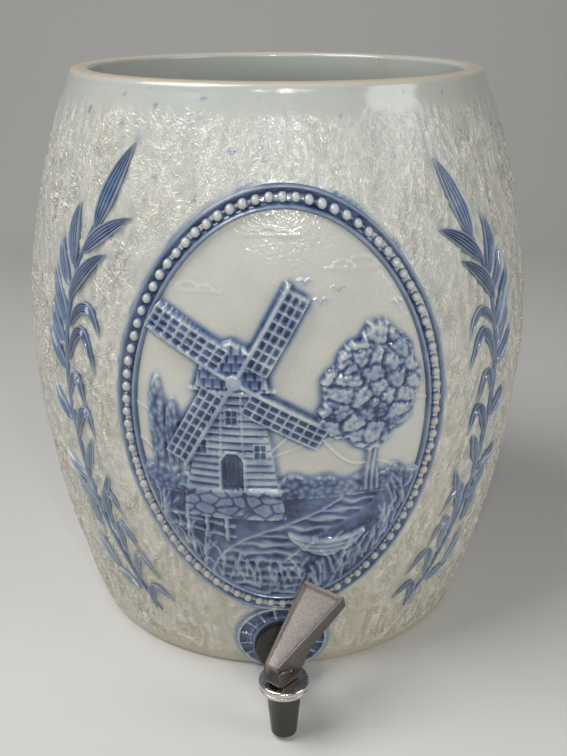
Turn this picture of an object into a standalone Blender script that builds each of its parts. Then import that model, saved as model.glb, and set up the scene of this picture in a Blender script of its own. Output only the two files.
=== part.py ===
# Stoneware water pot with a lever tap, modelled piece by piece at its real size.
# Metres, +Z up. The origin is the centre of the pot's flat base, and the tap points along -Y.

import math

import bmesh
import bpy
from mathutils import Vector

# Largest angle between faces that shade as one surface, on round pieces and on crisp ones
SMOOTH_DEG = 35.0
CRISP_DEG = 4.0

# Gap that two pieces keep where they touch, and the overrun of every cutter past the face it cuts
FIT_GAP = 0.0003
CUT_OVERRUN = 0.004

# Pot: a barrel with a thick wall, open at the top
HEIGHT = 0.350
BELLY_HEIGHT = 0.190
BELLY_RADIUS = 0.1585
RIM_RADIUS = 0.1245
FOOT_RADIUS = 0.1240
WALL = 0.0118
FLOOR = 0.0090
FOOT_ROUND = 0.0050
RIM_OUTER_ROUND = 0.0040
RIM_INNER_ROUND = 0.0030
FLOOR_FILLET = 0.0080
BARREL_CURVE = 1.87
POT_SIDES = 64
POT_ROWS = 12
INNER_ROWS = 6
ROUND_STEPS = 2

# Ornament on the pot: distances across are measured round the belly, heights from the base
ORNAMENT_ROOT = 0.0025
EDGE_SHARE = -0.1
OVAL_HALF_WIDTH = 0.0895
OVAL_RIM_MARGIN = 0.0535
OVAL_BOSS_MARGIN = 0.0040
OVAL_SIDES = 40
BEAD_COUNT = 84
BEAD_RADIUS = 0.0028
BEAD_RELIEF = 0.0026
BEAD_SIDES = 5
FILLET_BREADTH = 0.0024
FILLET_RELIEF = 0.0017
FILLET_SPACING = 0.0096
PICTURE_RELIEF = 0.0028
PICTURE_CELL = BELLY_RADIUS * math.tau / POT_SIDES

# Leaf sprays that follow the sides of the oval
SPRAY_RIM_MARGIN = 0.0440
SPRAY_BOTTOM = 0.0420
SPRAY_WIDEST_RISE = 0.0235
SPRAY_OVAL_MARGIN = 0.0415
SPRAY_TOP_REACH = 0.0960
SPRAY_BOTTOM_REACH = 0.0860
SPRAY_TOP_CURVE = 2.0
SPRAY_BOTTOM_CURVE = 4.0
LEAF_PAIRS = 10
LEAF_LENGTH = 0.0370
LEAF_BREADTH = 0.0084
LEAF_RELIEF = 0.0026
LEAF_SPREAD_DEG = 19.0

# Tap boss: a ring of rays round the tap hole, and flat seats inside and outside
TAP_HEIGHT = 0.0255
BOSS_RADIUS = 0.0270
BOSS_RELIEF = 0.0014
BOSS_RIM_BREADTH = 0.0022
RAY_RELIEF = 0.0024
RAY_BREADTH = 0.0013
RAY_COUNT = 16
BOSS_ROWS = 3
SEAT_STAND = 0.00635
SEAT_THICKNESS = 0.0110
SEAT_LAP = 0.0018
SEAT_RADIUS = 0.0176
SEAT_CUT_RADIUS = 0.0190
INNER_SEAT_RADIUS = 0.0160
TAP_HOLE_RADIUS = 0.0092

# Tap body: one moulding with shank, flange, neck, valve barrel and outlet
SHANK_RADIUS = 0.0078
SHANK_END_STAND = 0.0040
FLANGE_RADIUS = 0.0156
FLANGE_THICKNESS = 0.0030
NECK_ROOT_RADIUS = 0.0080
NECK_RADIUS = 0.0058
WATERWAY_RADIUS = 0.0040
OUTLET_HEIGHT = 0.0028
OUTLET_TIP_RADIUS = 0.0072
OUTLET_TOP_RADIUS = 0.0098
OUTLET_TOP_HEIGHT = 0.0300
OUTLET_BORE_RADIUS = 0.0045
CHAMBER_RADIUS = 0.0082
VALVE_SEAT_HEIGHT = 0.0195
BODY_COLLAR_RADIUS = 0.0118
BODY_COLLAR_BOTTOM = 0.0305
BODY_COLLAR_TOP = 0.0348
TURNED_SIDES = 28

# Gaskets, slip washer and nut on the shank
OUTER_GASKET_THICKNESS = 0.0020
OUTER_GASKET_RADIUS = 0.0166
INNER_GASKET_THICKNESS = 0.0025
INNER_GASKET_RADIUS = 0.0152
SLIP_WASHER_THICKNESS = 0.0012
SLIP_WASHER_RADIUS = 0.0146
NUT_THICKNESS = 0.0070
NUT_ACROSS_FLATS = 0.0250
NUT_COLLAR_RADIUS = 0.0138
NUT_COLLAR_THICKNESS = 0.0018

# Bonnet: the plated cap over the valve
BONNET_RADIUS = 0.0143
BONNET_FOOT_RADIUS = 0.0130
BONNET_BOTTOM = 0.0316
BONNET_TOP = 0.0380
BONNET_ROOF = 0.0016
BONNET_ROUND = 0.0012
BONNET_GROOVE_HEIGHT = 0.0352
BONNET_GROOVE_DEPTH = 0.0006
BONNET_GROOVE_BREADTH = 0.0008
BONNET_HOLE_RADIUS = 0.0031

# Valve: stem, spring and the silicone cup that closes on the seat
STEM_RADIUS = 0.0027
STEM_FOOT_RADIUS = 0.0046
STEM_FOOT_THICKNESS = 0.0015
CUP_FLANGE_RADIUS = 0.0112
CUP_RADIUS = 0.0065
CUP_WALL = 0.0012
CUP_FLANGE_THICKNESS = 0.0010
CUP_FLOOR = 0.0035
CUP_TIP_RADIUS = 0.0053
SPRING_WIRE = 0.0009
SPRING_TURNS = 6
SPRING_POINTS_PER_TURN = 12
VALVE_SIDES = 24

# Lever: a tapered tray on a cam foot, hinged on a pin through the stem
LEVER_SWIVEL_DEG = 41.6
LEVER_RISE_DEG = 31.1
PIN_HEIGHT = 0.0450
PIN_RADIUS = 0.0012
PIN_HOLE_RADIUS = 0.0015
CAM_LIFT_PER_RADIAN = 0.0055
CAM_END_DEG = 36.0
CAM_STEPS = 5
FOOT_HALF_BREADTH = 0.00575
FOOT_BACK_FLAT = 0.0050
FOOT_BACK = 0.0080
FOOT_BACK_RISE = 0.0028
FOOT_FRONT_TOP = 0.0046
FOOT_BACK_TOP = -0.0020
TRAY_START_RISE = 0.0070
TRAY_LENGTH = 0.0520
TRAY_NARROW_BREADTH = 0.0090
TRAY_WIDE_BREADTH = 0.0290
TRAY_TIP_DEPTH = 0.0068
TRAY_TIP_SLANT = 0.0015
TRAY_ROOT_DEPTH = 0.0093
TRAY_ROOT_ALONG = 0.0210
TRAY_BORDER = 0.0017
TRAY_RECESS_NEAR = 0.0004
TRAY_RECESS_FAR = 0.0030
TRAY_RECESS_DRAFT = 0.0014
LEVER_WAIST_BACK = 0.0084
LEVER_WAIST_HEIGHT = -0.0002
LEVER_EDGE_ROUND = 0.0006
SLOT_REACH = 0.0035
LEVER_TRAVEL_DEG = 45.0
LEVER_WALL_GAP = 0.004096

def barrel_radius(height):
    """Outer radius of the pot: a power curve that falls from the belly to the rim and the foot."""
    if height < BELLY_HEIGHT:
        share = (BELLY_HEIGHT - height) / BELLY_HEIGHT
        end = FOOT_RADIUS
    else:
        share = (height - BELLY_HEIGHT) / (HEIGHT - BELLY_HEIGHT)
        end = RIM_RADIUS
    return BELLY_RADIUS - (BELLY_RADIUS - end) * share ** BARREL_CURVE


def cam_point(angle):
    """Point of the lever's cam, an involute whose distance below the pin grows evenly as the lever turns."""
    reach = PIN_TO_FOOT + CAM_LIFT_PER_RADIAN * angle
    y = -reach * math.sin(angle) - CAM_LIFT_PER_RADIAN * math.cos(angle)
    z = -reach * math.cos(angle) + CAM_LIFT_PER_RADIAN * math.sin(angle)
    return (y, z)


def tray_point(along, below):
    """Point in the lever's side view, measured along the tray's face and square below it."""
    rise = math.radians(LEVER_RISE_DEG)
    front = cam_point(math.radians(CAM_END_DEG))[0]
    y = front + along * math.cos(rise) + below * math.sin(rise)
    z = TRAY_START_RISE + along * math.sin(rise) - below * math.cos(rise)
    return (y, z)


# Places worked out from the sizes above
BARREL_FOOT_Z = FOOT_ROUND
OVAL_TOP = HEIGHT - OVAL_RIM_MARGIN
OVAL_BOTTOM = TAP_HEIGHT + BOSS_RADIUS + OVAL_BOSS_MARGIN
OVAL_HALF_HEIGHT = (OVAL_TOP - OVAL_BOTTOM) / 2
OVAL_CENTRE_HEIGHT = (OVAL_TOP + OVAL_BOTTOM) / 2
SPRAY_TOP = HEIGHT - SPRAY_RIM_MARGIN
SPRAY_WIDEST_HEIGHT = OVAL_CENTRE_HEIGHT + SPRAY_WIDEST_RISE
SPRAY_REACH = OVAL_HALF_WIDTH + SPRAY_OVAL_MARGIN
SEAT_FACE = barrel_radius(TAP_HEIGHT) + SEAT_STAND
INNER_SEAT_FACE = SEAT_FACE - SEAT_THICKNESS
BOSS_START = INNER_SEAT_FACE - WALL * 2
BOSS_END = BELLY_RADIUS + SEAT_STAND + CUT_OVERRUN
OUTER_GASKET_AT = SEAT_FACE + FIT_GAP
FLANGE_AT = OUTER_GASKET_AT + OUTER_GASKET_THICKNESS + FIT_GAP
FLANGE_FRONT = FLANGE_AT + FLANGE_THICKNESS
INNER_GASKET_AT = INNER_SEAT_FACE - FIT_GAP - INNER_GASKET_THICKNESS
SLIP_WASHER_AT = INNER_GASKET_AT - FIT_GAP - SLIP_WASHER_THICKNESS
NUT_AT = SLIP_WASHER_AT - FIT_GAP - NUT_THICKNESS
SHANK_END = NUT_AT - SHANK_END_STAND
CUP_FLANGE_AT = BODY_COLLAR_TOP + FIT_GAP
BONNET_ROOF_AT = BONNET_TOP - BONNET_ROOF
CUP_BOTTOM = VALVE_SEAT_HEIGHT + FIT_GAP
CUP_POCKET = CUP_BOTTOM + CUP_FLOOR
STEM_BOTTOM = CUP_POCKET + FIT_GAP
STEM_FOOT_TOP = STEM_BOTTOM + STEM_FOOT_THICKNESS
PIN_TO_FOOT = PIN_HEIGHT - BONNET_TOP - FIT_GAP

# The valve stands far enough out for the lever to swing past the wall
LEVER_TIP = tray_point(TRAY_LENGTH, 0)
LEVER_SWING = math.hypot(LEVER_TIP[0], TRAY_WIDE_BREADTH / 2)
VALVE_REACH = barrel_radius(PIN_HEIGHT + LEVER_TIP[1]) + LEVER_SWING + LEVER_WALL_GAP


def clear_scene():
    for old in list(bpy.data.objects):
        bpy.data.objects.remove(old)


def make_material(name, colour, roughness, metallic=0.0):
    material = bpy.data.materials.new(name)
    material.use_nodes = True
    shader = material.node_tree.nodes["Principled BSDF"]
    shader.inputs["Base Color"].default_value = (*colour, 1.0)
    shader.inputs["Roughness"].default_value = roughness
    shader.inputs["Metallic"].default_value = metallic
    return material


def add_object(name, mesh_data, material=None, smooth_deg=SMOOTH_DEG):
    """Turns a bmesh into an object with outward faces and smooth round sides."""
    bmesh.ops.recalc_face_normals(mesh_data, faces=mesh_data.faces)
    mesh = bpy.data.meshes.new(name)
    mesh_data.to_mesh(mesh)
    mesh_data.free()
    mesh.shade_smooth()
    mesh.set_sharp_from_angle(angle=math.radians(smooth_deg))
    item = bpy.data.objects.new(name, mesh)
    bpy.context.scene.collection.objects.link(item)
    if material is not None:
        mesh.materials.append(material)
    return item


def make_cutter(item):
    """Marks an object as a guide that shapes another one and isn't a piece."""
    item.hide_render = True
    item.display_type = "WIRE"
    return item


def apply_boolean(target, tool, operation, overlapping=False):
    """Adds a live Boolean with an exact solver; overlapping is for a tool whose shapes cross."""
    step = target.modifiers.new(operation.title() + " " + tool.name, "BOOLEAN")
    step.operation = operation
    step.object = make_cutter(tool)
    step.solver = "EXACT"
    step.use_self = overlapping
    return step


def face_outward(item):
    """Turns an object built round +Z so that its axis runs from the pot's axis out along -Y."""
    item.rotation_euler = (math.radians(90), 0, 0)
    item.location = (0, 0, TAP_HEIGHT)
    return item


def arc(centre_r, centre_z, radius, start_deg, end_deg, steps):
    """Points on an arc in the (radius, height) plane, both ends included."""
    points = []
    for i in range(steps + 1):
        angle = math.radians(start_deg + (end_deg - start_deg) * i / steps)
        points.append((centre_r + radius * math.cos(angle), centre_z + radius * math.sin(angle)))
    return points


def spin_profile(profile, sides, closed):
    """Spins a (radius, height) profile round Z. An open profile starts and ends on the axis."""
    shape = bmesh.new()
    half_step = math.tau / sides / 2
    verts = []
    for radius, height in profile:
        place = (radius * math.cos(half_step), radius * math.sin(half_step), height)
        verts.append(shape.verts.new(place))
    pairs = list(zip(verts, verts[1:]))
    if closed:
        pairs.append((verts[-1], verts[0]))
    edges = [shape.edges.new(pair) for pair in pairs]
    bmesh.ops.spin(
        shape, geom=verts + edges, cent=(0, 0, 0), axis=(0, 0, 1),
        angle=math.tau, steps=sides, use_merge=True,
    )
    bmesh.ops.remove_doubles(shape, verts=shape.verts, dist=FIT_GAP * 0.01)
    poles = [v for v in shape.verts if v.co.xy.length < FIT_GAP * 0.01]
    bmesh.ops.dissolve_verts(shape, verts=poles)
    return shape


def make_turned(name, profile, material=None, sides=TURNED_SIDES, closed=False):
    return add_object(name, spin_profile(profile, sides, closed), material)


def make_rod(name, radius, start, end, sides=TURNED_SIDES):
    return make_turned(name, [(0, start), (radius, start), (radius, end), (0, end)], sides=sides)


def make_ring(name, inner, outer, start, end, material, sides=TURNED_SIDES):
    profile = [(inner, start), (outer, start), (outer, end), (inner, end)]
    return make_turned(name, profile, material, sides, closed=True)


def make_prism(name, outline, half_breadth, material=None):
    """Extrudes a (y, z) outline along X. half_breadth is a function of the outline's point."""
    shape = bmesh.new()
    sides = []
    for side in (-1, 1):
        sides.append([shape.verts.new((side * half_breadth(y, z), y, z)) for y, z in outline])
    for i in range(len(outline)):
        j = (i + 1) % len(outline)
        shape.faces.new((sides[0][i], sides[0][j], sides[1][j], sides[1][i]))
    shape.faces.new(sides[0])
    shape.faces.new(sides[1])
    return add_object(name, shape, material, CRISP_DEG)


# The barrel and what is laid on it

def barrel_rows(low, high, rows, offset):
    """Profile points of the barrel between two heights, moved outward by offset."""
    heights = [low + (high - low) * i / rows for i in range(rows + 1)]
    return [(barrel_radius(height) + offset, height) for height in heights]


def pot_profile():
    foot_z = BARREL_FOOT_Z
    foot_r = barrel_radius(foot_z)
    lip_z = HEIGHT - RIM_OUTER_ROUND
    lip_r = barrel_radius(lip_z)
    mouth_z = HEIGHT - RIM_INNER_ROUND
    mouth_r = barrel_radius(mouth_z) - WALL
    low_z = FLOOR + FLOOR_FILLET
    low_r = barrel_radius(low_z) - WALL
    points = [(0, 0)]
    points += arc(foot_r - FOOT_ROUND, foot_z, FOOT_ROUND, -90, 0, ROUND_STEPS)
    points += barrel_rows(foot_z, lip_z, POT_ROWS, 0)[1:-1]
    points += arc(lip_r - RIM_OUTER_ROUND, lip_z, RIM_OUTER_ROUND, 0, 90, ROUND_STEPS)
    points += arc(mouth_r + RIM_INNER_ROUND, mouth_z, RIM_INNER_ROUND, 90, 180, ROUND_STEPS)
    points += barrel_rows(mouth_z, low_z, INNER_ROWS, -WALL)[1:-1]
    points += arc(low_r - FLOOR_FILLET, low_z, FLOOR_FILLET, 0, -90, ROUND_STEPS)
    points.append((0, FLOOR))
    return points


def on_barrel(across, height, lift):
    """Point that lies lift outside the barrel, at a distance round the belly and a height."""
    angle = across / BELLY_RADIUS
    radius = barrel_radius(height) + lift
    return Vector((radius * math.sin(angle), -radius * math.cos(angle), height))


def add_relief(target, flat):
    """Lays a flat patch on the barrel as a closed slab. Its points hold (across, height, relief)."""
    tops = {v: target.verts.new(on_barrel(*v.co)) for v in flat.verts}
    roots = {v: target.verts.new(on_barrel(v.co.x, v.co.y, -ORNAMENT_ROOT)) for v in flat.verts}
    for face in flat.faces:
        target.faces.new([tops[v] for v in face.verts])
        target.faces.new([roots[v] for v in reversed(face.verts)])
    for edge in flat.edges:
        if edge.is_boundary:
            a, b = edge.link_loops[0].vert, edge.link_loops[0].link_loop_next.vert
            target.faces.new((tops[b], tops[a], roots[a], roots[b]))
    flat.free()


def add_oval_band(target, offset, breadth, relief):
    """A raised moulding round the oval, with a crest along its middle."""
    flat = bmesh.new()
    rings = []
    for side, height_share in ((-0.5, EDGE_SHARE), (0, 1), (0.5, EDGE_SHARE)):
        grow = offset + side * breadth
        ring = []
        for i in range(OVAL_SIDES):
            angle = math.tau * i / OVAL_SIDES
            across = (OVAL_HALF_WIDTH + grow) * math.cos(angle)
            height = OVAL_CENTRE_HEIGHT + (OVAL_HALF_HEIGHT + grow) * math.sin(angle)
            ring.append(flat.verts.new((across, height, relief * height_share)))
        rings.append(ring)
    for inner, outer in zip(rings, rings[1:]):
        for i in range(OVAL_SIDES):
            j = (i + 1) % OVAL_SIDES
            flat.faces.new((inner[i], outer[i], outer[j], inner[j]))
    add_relief(target, flat)


def oval_bead_places():
    """Bead centres at equal steps along the oval, found by walking its length."""
    fine = 2000
    points = []
    for i in range(fine + 1):
        angle = math.tau * i / fine
        points.append(Vector((OVAL_HALF_WIDTH * math.cos(angle), OVAL_HALF_HEIGHT * math.sin(angle))))
    lengths = [0]
    for a, b in zip(points, points[1:]):
        lengths.append(lengths[-1] + (b - a).length)
    places = []
    step = lengths[-1] / BEAD_COUNT
    i = 0
    for n in range(BEAD_COUNT):
        while lengths[i] < n * step:
            i += 1
        places.append((points[i].x, OVAL_CENTRE_HEIGHT + points[i].y))
    return places


def add_bead(target, across, height):
    flat = bmesh.new()
    rings = []
    for radius_share, relief_share in ((0.6, 1), (1, EDGE_SHARE)):
        ring = []
        for i in range(BEAD_SIDES):
            angle = math.tau * i / BEAD_SIDES
            x = across + BEAD_RADIUS * radius_share * math.cos(angle)
            z = height + BEAD_RADIUS * radius_share * math.sin(angle)
            ring.append(flat.verts.new((x, z, BEAD_RELIEF * relief_share)))
        rings.append(ring)
    flat.faces.new(rings[0])
    for i in range(BEAD_SIDES):
        j = (i + 1) % BEAD_SIDES
        flat.faces.new((rings[0][i], rings[1][i], rings[1][j], rings[0][j]))
    add_relief(target, flat)


def add_leaf(target, across, height, lean_deg, size_share=1.0):
    """A pointed leaf with a raised midrib. lean_deg turns its tip clockwise from straight up."""
    stations = ((0, 0.35, 0.5), (0.45, 1, 1), (1, 0, 0.2))
    lean = math.radians(lean_deg)
    up = Vector((math.sin(lean), math.cos(lean)))
    side = Vector((up.y, -up.x))
    flat = bmesh.new()
    rows = []
    for along_share, breadth_share, relief_share in stations:
        centre = Vector((across, height)) + up * (LEAF_LENGTH * size_share * along_share)
        half = side * (LEAF_BREADTH * size_share * breadth_share / 2)
        relief = LEAF_RELIEF * relief_share
        middle = flat.verts.new((centre.x, centre.y, relief))
        if breadth_share == 0:
            rows.append((middle,))
            continue
        edge_relief = relief * EDGE_SHARE
        left = flat.verts.new((centre.x - half.x, centre.y - half.y, edge_relief))
        right = flat.verts.new((centre.x + half.x, centre.y + half.y, edge_relief))
        rows.append((left, middle, right))
    for low, high in zip(rows, rows[1:]):
        if len(high) == 3:
            flat.faces.new((low[0], low[1], high[1], high[0]))
            flat.faces.new((low[1], low[2], high[2], high[1]))
        else:
            flat.faces.new((low[0], low[1], high[0]))
            flat.faces.new((low[1], low[2], high[0]))
    add_relief(target, flat)


def spray_across(height):
    """Distance of a spray's stem from the pot's front, bowed outward beside the oval."""
    if height > SPRAY_WIDEST_HEIGHT:
        share = (height - SPRAY_WIDEST_HEIGHT) / (SPRAY_TOP - SPRAY_WIDEST_HEIGHT)
        return SPRAY_REACH - (SPRAY_REACH - SPRAY_TOP_REACH) * share ** SPRAY_TOP_CURVE
    share = (SPRAY_WIDEST_HEIGHT - height) / (SPRAY_WIDEST_HEIGHT - SPRAY_BOTTOM)
    return SPRAY_REACH - (SPRAY_REACH - SPRAY_BOTTOM_REACH) * share ** SPRAY_BOTTOM_CURVE


def add_spray(target, side):
    """Pairs of leaves that climb the bowed stem, with a single leaf at its top."""
    first = SPRAY_BOTTOM
    last = SPRAY_TOP - LEAF_LENGTH * 0.75
    for i in range(LEAF_PAIRS + 1):
        height = first + (last - first) * i / LEAF_PAIRS
        ahead = height + LEAF_BREADTH
        slope = spray_across(ahead) - spray_across(height)
        lean = math.degrees(math.atan2(slope, LEAF_BREADTH))
        across = spray_across(height)
        if i == LEAF_PAIRS:
            add_leaf(target, side * across, height, side * lean, 1.1)
            continue
        for turn in (-1, 1):
            stagger = LEAF_BREADTH * 0.4 * turn
            foot = side * (across + turn * LEAF_BREADTH * 0.3)
            add_leaf(target, foot, height + stagger, side * (lean + turn * LEAF_SPREAD_DEG))


# Main masses of the country scene in the oval, as shares of the oval's half sizes
SCENE_SHARES = {
    "ground": (
        (-0.80, -0.36), (-0.45, -0.31), (-0.08, -0.35), (0.28, -0.30), (0.80, -0.36),
        (0.70, -0.60), (0.44, -0.80), (0.14, -0.895), (-0.14, -0.895), (-0.44, -0.80), (-0.70, -0.60),
    ),
    "mill_tower": ((-0.58, -0.34), (-0.02, -0.34), (-0.14, 0.20), (-0.46, 0.20)),
    "mill_cap": ((-0.52, 0.17), (-0.08, 0.17), (-0.15, 0.33), (-0.30, 0.39), (-0.45, 0.33)),
    "oak_crown": (
        (0.22, 0.04), (0.38, -0.10), (0.62, -0.08), (0.76, 0.10),
        (0.72, 0.32), (0.58, 0.44), (0.40, 0.44), (0.24, 0.28),
    ),
    "oak_trunk": ((0.42, -0.33), (0.60, -0.33), (0.55, -0.06), (0.47, -0.06)),
    "sail_up": ((-0.27, 0.29), (-0.19, 0.26), (0.16, 0.66), (0.03, 0.73)),
    "sail_down": ((-0.34, 0.15), (-0.26, 0.12), (-0.46, -0.20), (-0.62, -0.13)),
    "sail_left": ((-0.35, 0.27), (-0.37, 0.21), (-0.80, 0.36), (-0.76, 0.46)),
    "sail_right": ((-0.21, 0.215), (-0.22, 0.145), (0.16, -0.10), (0.23, -0.01)),
    "mill_hub": ((-0.37, 0.14), (-0.20, 0.14), (-0.18, 0.28), (-0.35, 0.30)),
}
SCENE_RELIEF_SHARES = {
    "ground": 0.55, "mill_tower": 0.85, "mill_cap": 1.0, "oak_crown": 0.9, "oak_trunk": 0.7,
    "sail_up": 1.12, "sail_down": 1.20, "sail_left": 1.28, "sail_right": 1.36, "mill_hub": 1.5,
}


def add_scene_mass(target, outline_shares, relief_share):
    """A raised area of the picture, cut into cells so that it follows the round wall."""
    flat = bmesh.new()
    verts = []
    for x_share, z_share in outline_shares:
        height = OVAL_CENTRE_HEIGHT + z_share * OVAL_HALF_HEIGHT
        verts.append(flat.verts.new((x_share * OVAL_HALF_WIDTH, height, 0)))
    flat.faces.new(verts)
    columns = math.ceil(OVAL_HALF_WIDTH / PICTURE_CELL)
    for i in range(-columns, columns + 1):
        place = (i * PICTURE_CELL, 0, 0)
        every = flat.verts[:] + flat.edges[:] + flat.faces[:]
        bmesh.ops.bisect_plane(flat, geom=every, plane_co=place, plane_no=(1, 0, 0), dist=FIT_GAP)
    rows = math.ceil(OVAL_HALF_HEIGHT / PICTURE_CELL / 2)
    for i in range(-rows, rows + 1):
        place = (0, OVAL_CENTRE_HEIGHT + i * PICTURE_CELL * 2, 0)
        every = flat.verts[:] + flat.edges[:] + flat.faces[:]
        bmesh.ops.bisect_plane(flat, geom=every, plane_co=place, plane_no=(0, 1, 0), dist=FIT_GAP)
    for v in flat.verts:
        v.co.z = PICTURE_RELIEF * relief_share
    bmesh.ops.triangulate(flat, faces=flat.faces)
    add_relief(target, flat)


def make_boss_layer(name, relief, shape):
    """A band of the wall grown by relief and kept only where shape, a prism along Y, covers it."""
    top = TAP_HEIGHT + BOSS_RADIUS + BOSS_RIM_BREADTH
    root = -ORNAMENT_ROOT - relief
    foot_edge = barrel_radius(0) - FOOT_ROUND
    foot_z = FOOT_ROUND / 10
    profile = [(foot_edge + root, foot_z), (foot_edge, foot_z)]
    profile += barrel_rows(FOOT_ROUND, top, BOSS_ROWS, relief)
    profile += reversed(barrel_rows(FOOT_ROUND, top, BOSS_ROWS, root))
    layer = make_turned(name, profile, sides=POT_SIDES, closed=True)
    apply_boolean(layer, shape, "INTERSECT", overlapping=True)
    return make_cutter(layer)


def make_boss_rays():
    """A rim ring and radial bars, as one prism that runs out through the wall."""
    shape = spin_profile(
        [(BOSS_RADIUS - BOSS_RIM_BREADTH, BOSS_START), (BOSS_RADIUS, BOSS_START),
         (BOSS_RADIUS, BOSS_END), (BOSS_RADIUS - BOSS_RIM_BREADTH, BOSS_END)],
        TURNED_SIDES, True,
    )
    half = RAY_BREADTH / 2
    inner = SEAT_RADIUS - BOSS_RIM_BREADTH
    outer = BOSS_RADIUS - BOSS_RIM_BREADTH / 2
    for i in range(RAY_COUNT):
        angle = math.tau * (i + 0.5) / RAY_COUNT
        along = Vector((math.cos(angle), math.sin(angle), 0))
        side = Vector((-along.y, along.x, 0)) * half
        corners = [along * inner - side, along * outer - side, along * outer + side, along * inner + side]
        low = [shape.verts.new(c + Vector((0, 0, BOSS_START - half))) for c in corners]
        high = [shape.verts.new(c + Vector((0, 0, BOSS_END + half))) for c in corners]
        shape.faces.new(reversed(low))
        shape.faces.new(high)
        for j in range(4):
            k = (j + 1) % 4
            shape.faces.new((low[j], low[k], high[k], high[j]))
    return face_outward(add_object("boss_ray_guide", shape))


def make_pot(glaze):
    pot = make_turned("stoneware_pot", pot_profile(), glaze, POT_SIDES)
    disc_radius = BOSS_RADIUS - BOSS_RIM_BREADTH / 2
    boss_disc = face_outward(make_rod("boss_disc_guide", disc_radius, BOSS_START, BOSS_END))
    apply_boolean(pot, make_boss_layer("boss_guide", BOSS_RELIEF, boss_disc), "UNION")
    rays = make_boss_layer("boss_rays_guide", RAY_RELIEF, make_boss_rays())
    apply_boolean(pot, rays, "UNION")
    pad_start = INNER_SEAT_FACE - SEAT_LAP
    pad = face_outward(make_rod("seat_pad_guide", SEAT_RADIUS, pad_start, SEAT_FACE + ORNAMENT_ROOT))
    apply_boolean(pot, pad, "UNION")
    outer_face = make_rod("outer_seat_cutter", SEAT_CUT_RADIUS, SEAT_FACE, BOSS_END)
    apply_boolean(pot, face_outward(outer_face), "DIFFERENCE")
    inner_face = make_rod("inner_seat_cutter", INNER_SEAT_RADIUS, BOSS_START, INNER_SEAT_FACE)
    apply_boolean(pot, face_outward(inner_face), "DIFFERENCE")
    hole = make_rod("tap_hole_cutter", TAP_HOLE_RADIUS, BOSS_START, SEAT_FACE + CUT_OVERRUN)
    apply_boolean(pot, face_outward(hole), "DIFFERENCE")
    ornament = bmesh.new()
    add_oval_band(ornament, -FILLET_SPACING / 2, FILLET_BREADTH, FILLET_RELIEF)
    add_oval_band(ornament, FILLET_SPACING / 2, FILLET_BREADTH, FILLET_RELIEF)
    for across, height in oval_bead_places():
        add_bead(ornament, across, height)
    add_spray(ornament, -1)
    add_spray(ornament, 1)
    for name, outline_shares in SCENE_SHARES.items():
        add_scene_mass(ornament, outline_shares, SCENE_RELIEF_SHARES[name])
    apply_boolean(pot, add_object("ornament_guide", ornament), "UNION", overlapping=True)
    return pot


# Tap body and what clamps it to the wall

def make_tap_body(plastic):
    shank = [
        (0, SHANK_END), (SHANK_RADIUS, SHANK_END), (SHANK_RADIUS, FLANGE_AT),
        (FLANGE_RADIUS, FLANGE_AT), (FLANGE_RADIUS, FLANGE_FRONT - FIT_GAP * 2),
        (FLANGE_RADIUS - FIT_GAP * 3, FLANGE_FRONT), (NECK_ROOT_RADIUS, FLANGE_FRONT),
        (NECK_RADIUS, FLANGE_FRONT + NECK_ROOT_RADIUS), (NECK_RADIUS, VALVE_REACH), (0, VALVE_REACH),
    ]
    body = face_outward(make_turned("tap_body", shank, plastic))
    barrel = [
        (0, OUTLET_HEIGHT), (OUTLET_TIP_RADIUS, OUTLET_HEIGHT),
        (OUTLET_TOP_RADIUS, OUTLET_TOP_HEIGHT), (OUTLET_TOP_RADIUS, BODY_COLLAR_BOTTOM),
        (BODY_COLLAR_RADIUS, BODY_COLLAR_BOTTOM + (BODY_COLLAR_RADIUS - OUTLET_TOP_RADIUS) / 2),
        (BODY_COLLAR_RADIUS, BODY_COLLAR_TOP), (0, BODY_COLLAR_TOP),
    ]
    barrel_guide = make_turned("valve_barrel_guide", barrel)
    barrel_guide.location = (0, -VALVE_REACH, 0)
    apply_boolean(body, barrel_guide, "UNION")
    seat_lead = OUTLET_BORE_RADIUS / 4
    bore = [
        (0, OUTLET_HEIGHT - CUT_OVERRUN / 2), (OUTLET_BORE_RADIUS, OUTLET_HEIGHT - CUT_OVERRUN / 2),
        (OUTLET_BORE_RADIUS, VALVE_SEAT_HEIGHT), (CHAMBER_RADIUS - seat_lead, VALVE_SEAT_HEIGHT),
        (CHAMBER_RADIUS, VALVE_SEAT_HEIGHT + seat_lead),
        (CHAMBER_RADIUS, BODY_COLLAR_TOP + CUT_OVERRUN), (0, BODY_COLLAR_TOP + CUT_OVERRUN),
    ]
    bore_cutter = make_turned("valve_bore_cutter", bore, sides=VALVE_SIDES)
    bore_cutter.location = (0, -VALVE_REACH, 0)
    apply_boolean(body, bore_cutter, "DIFFERENCE")
    waterway = make_rod("waterway_cutter", WATERWAY_RADIUS, SHANK_END - CUT_OVERRUN, VALVE_REACH, VALVE_SIDES)
    apply_boolean(body, face_outward(waterway), "DIFFERENCE")
    return body


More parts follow.
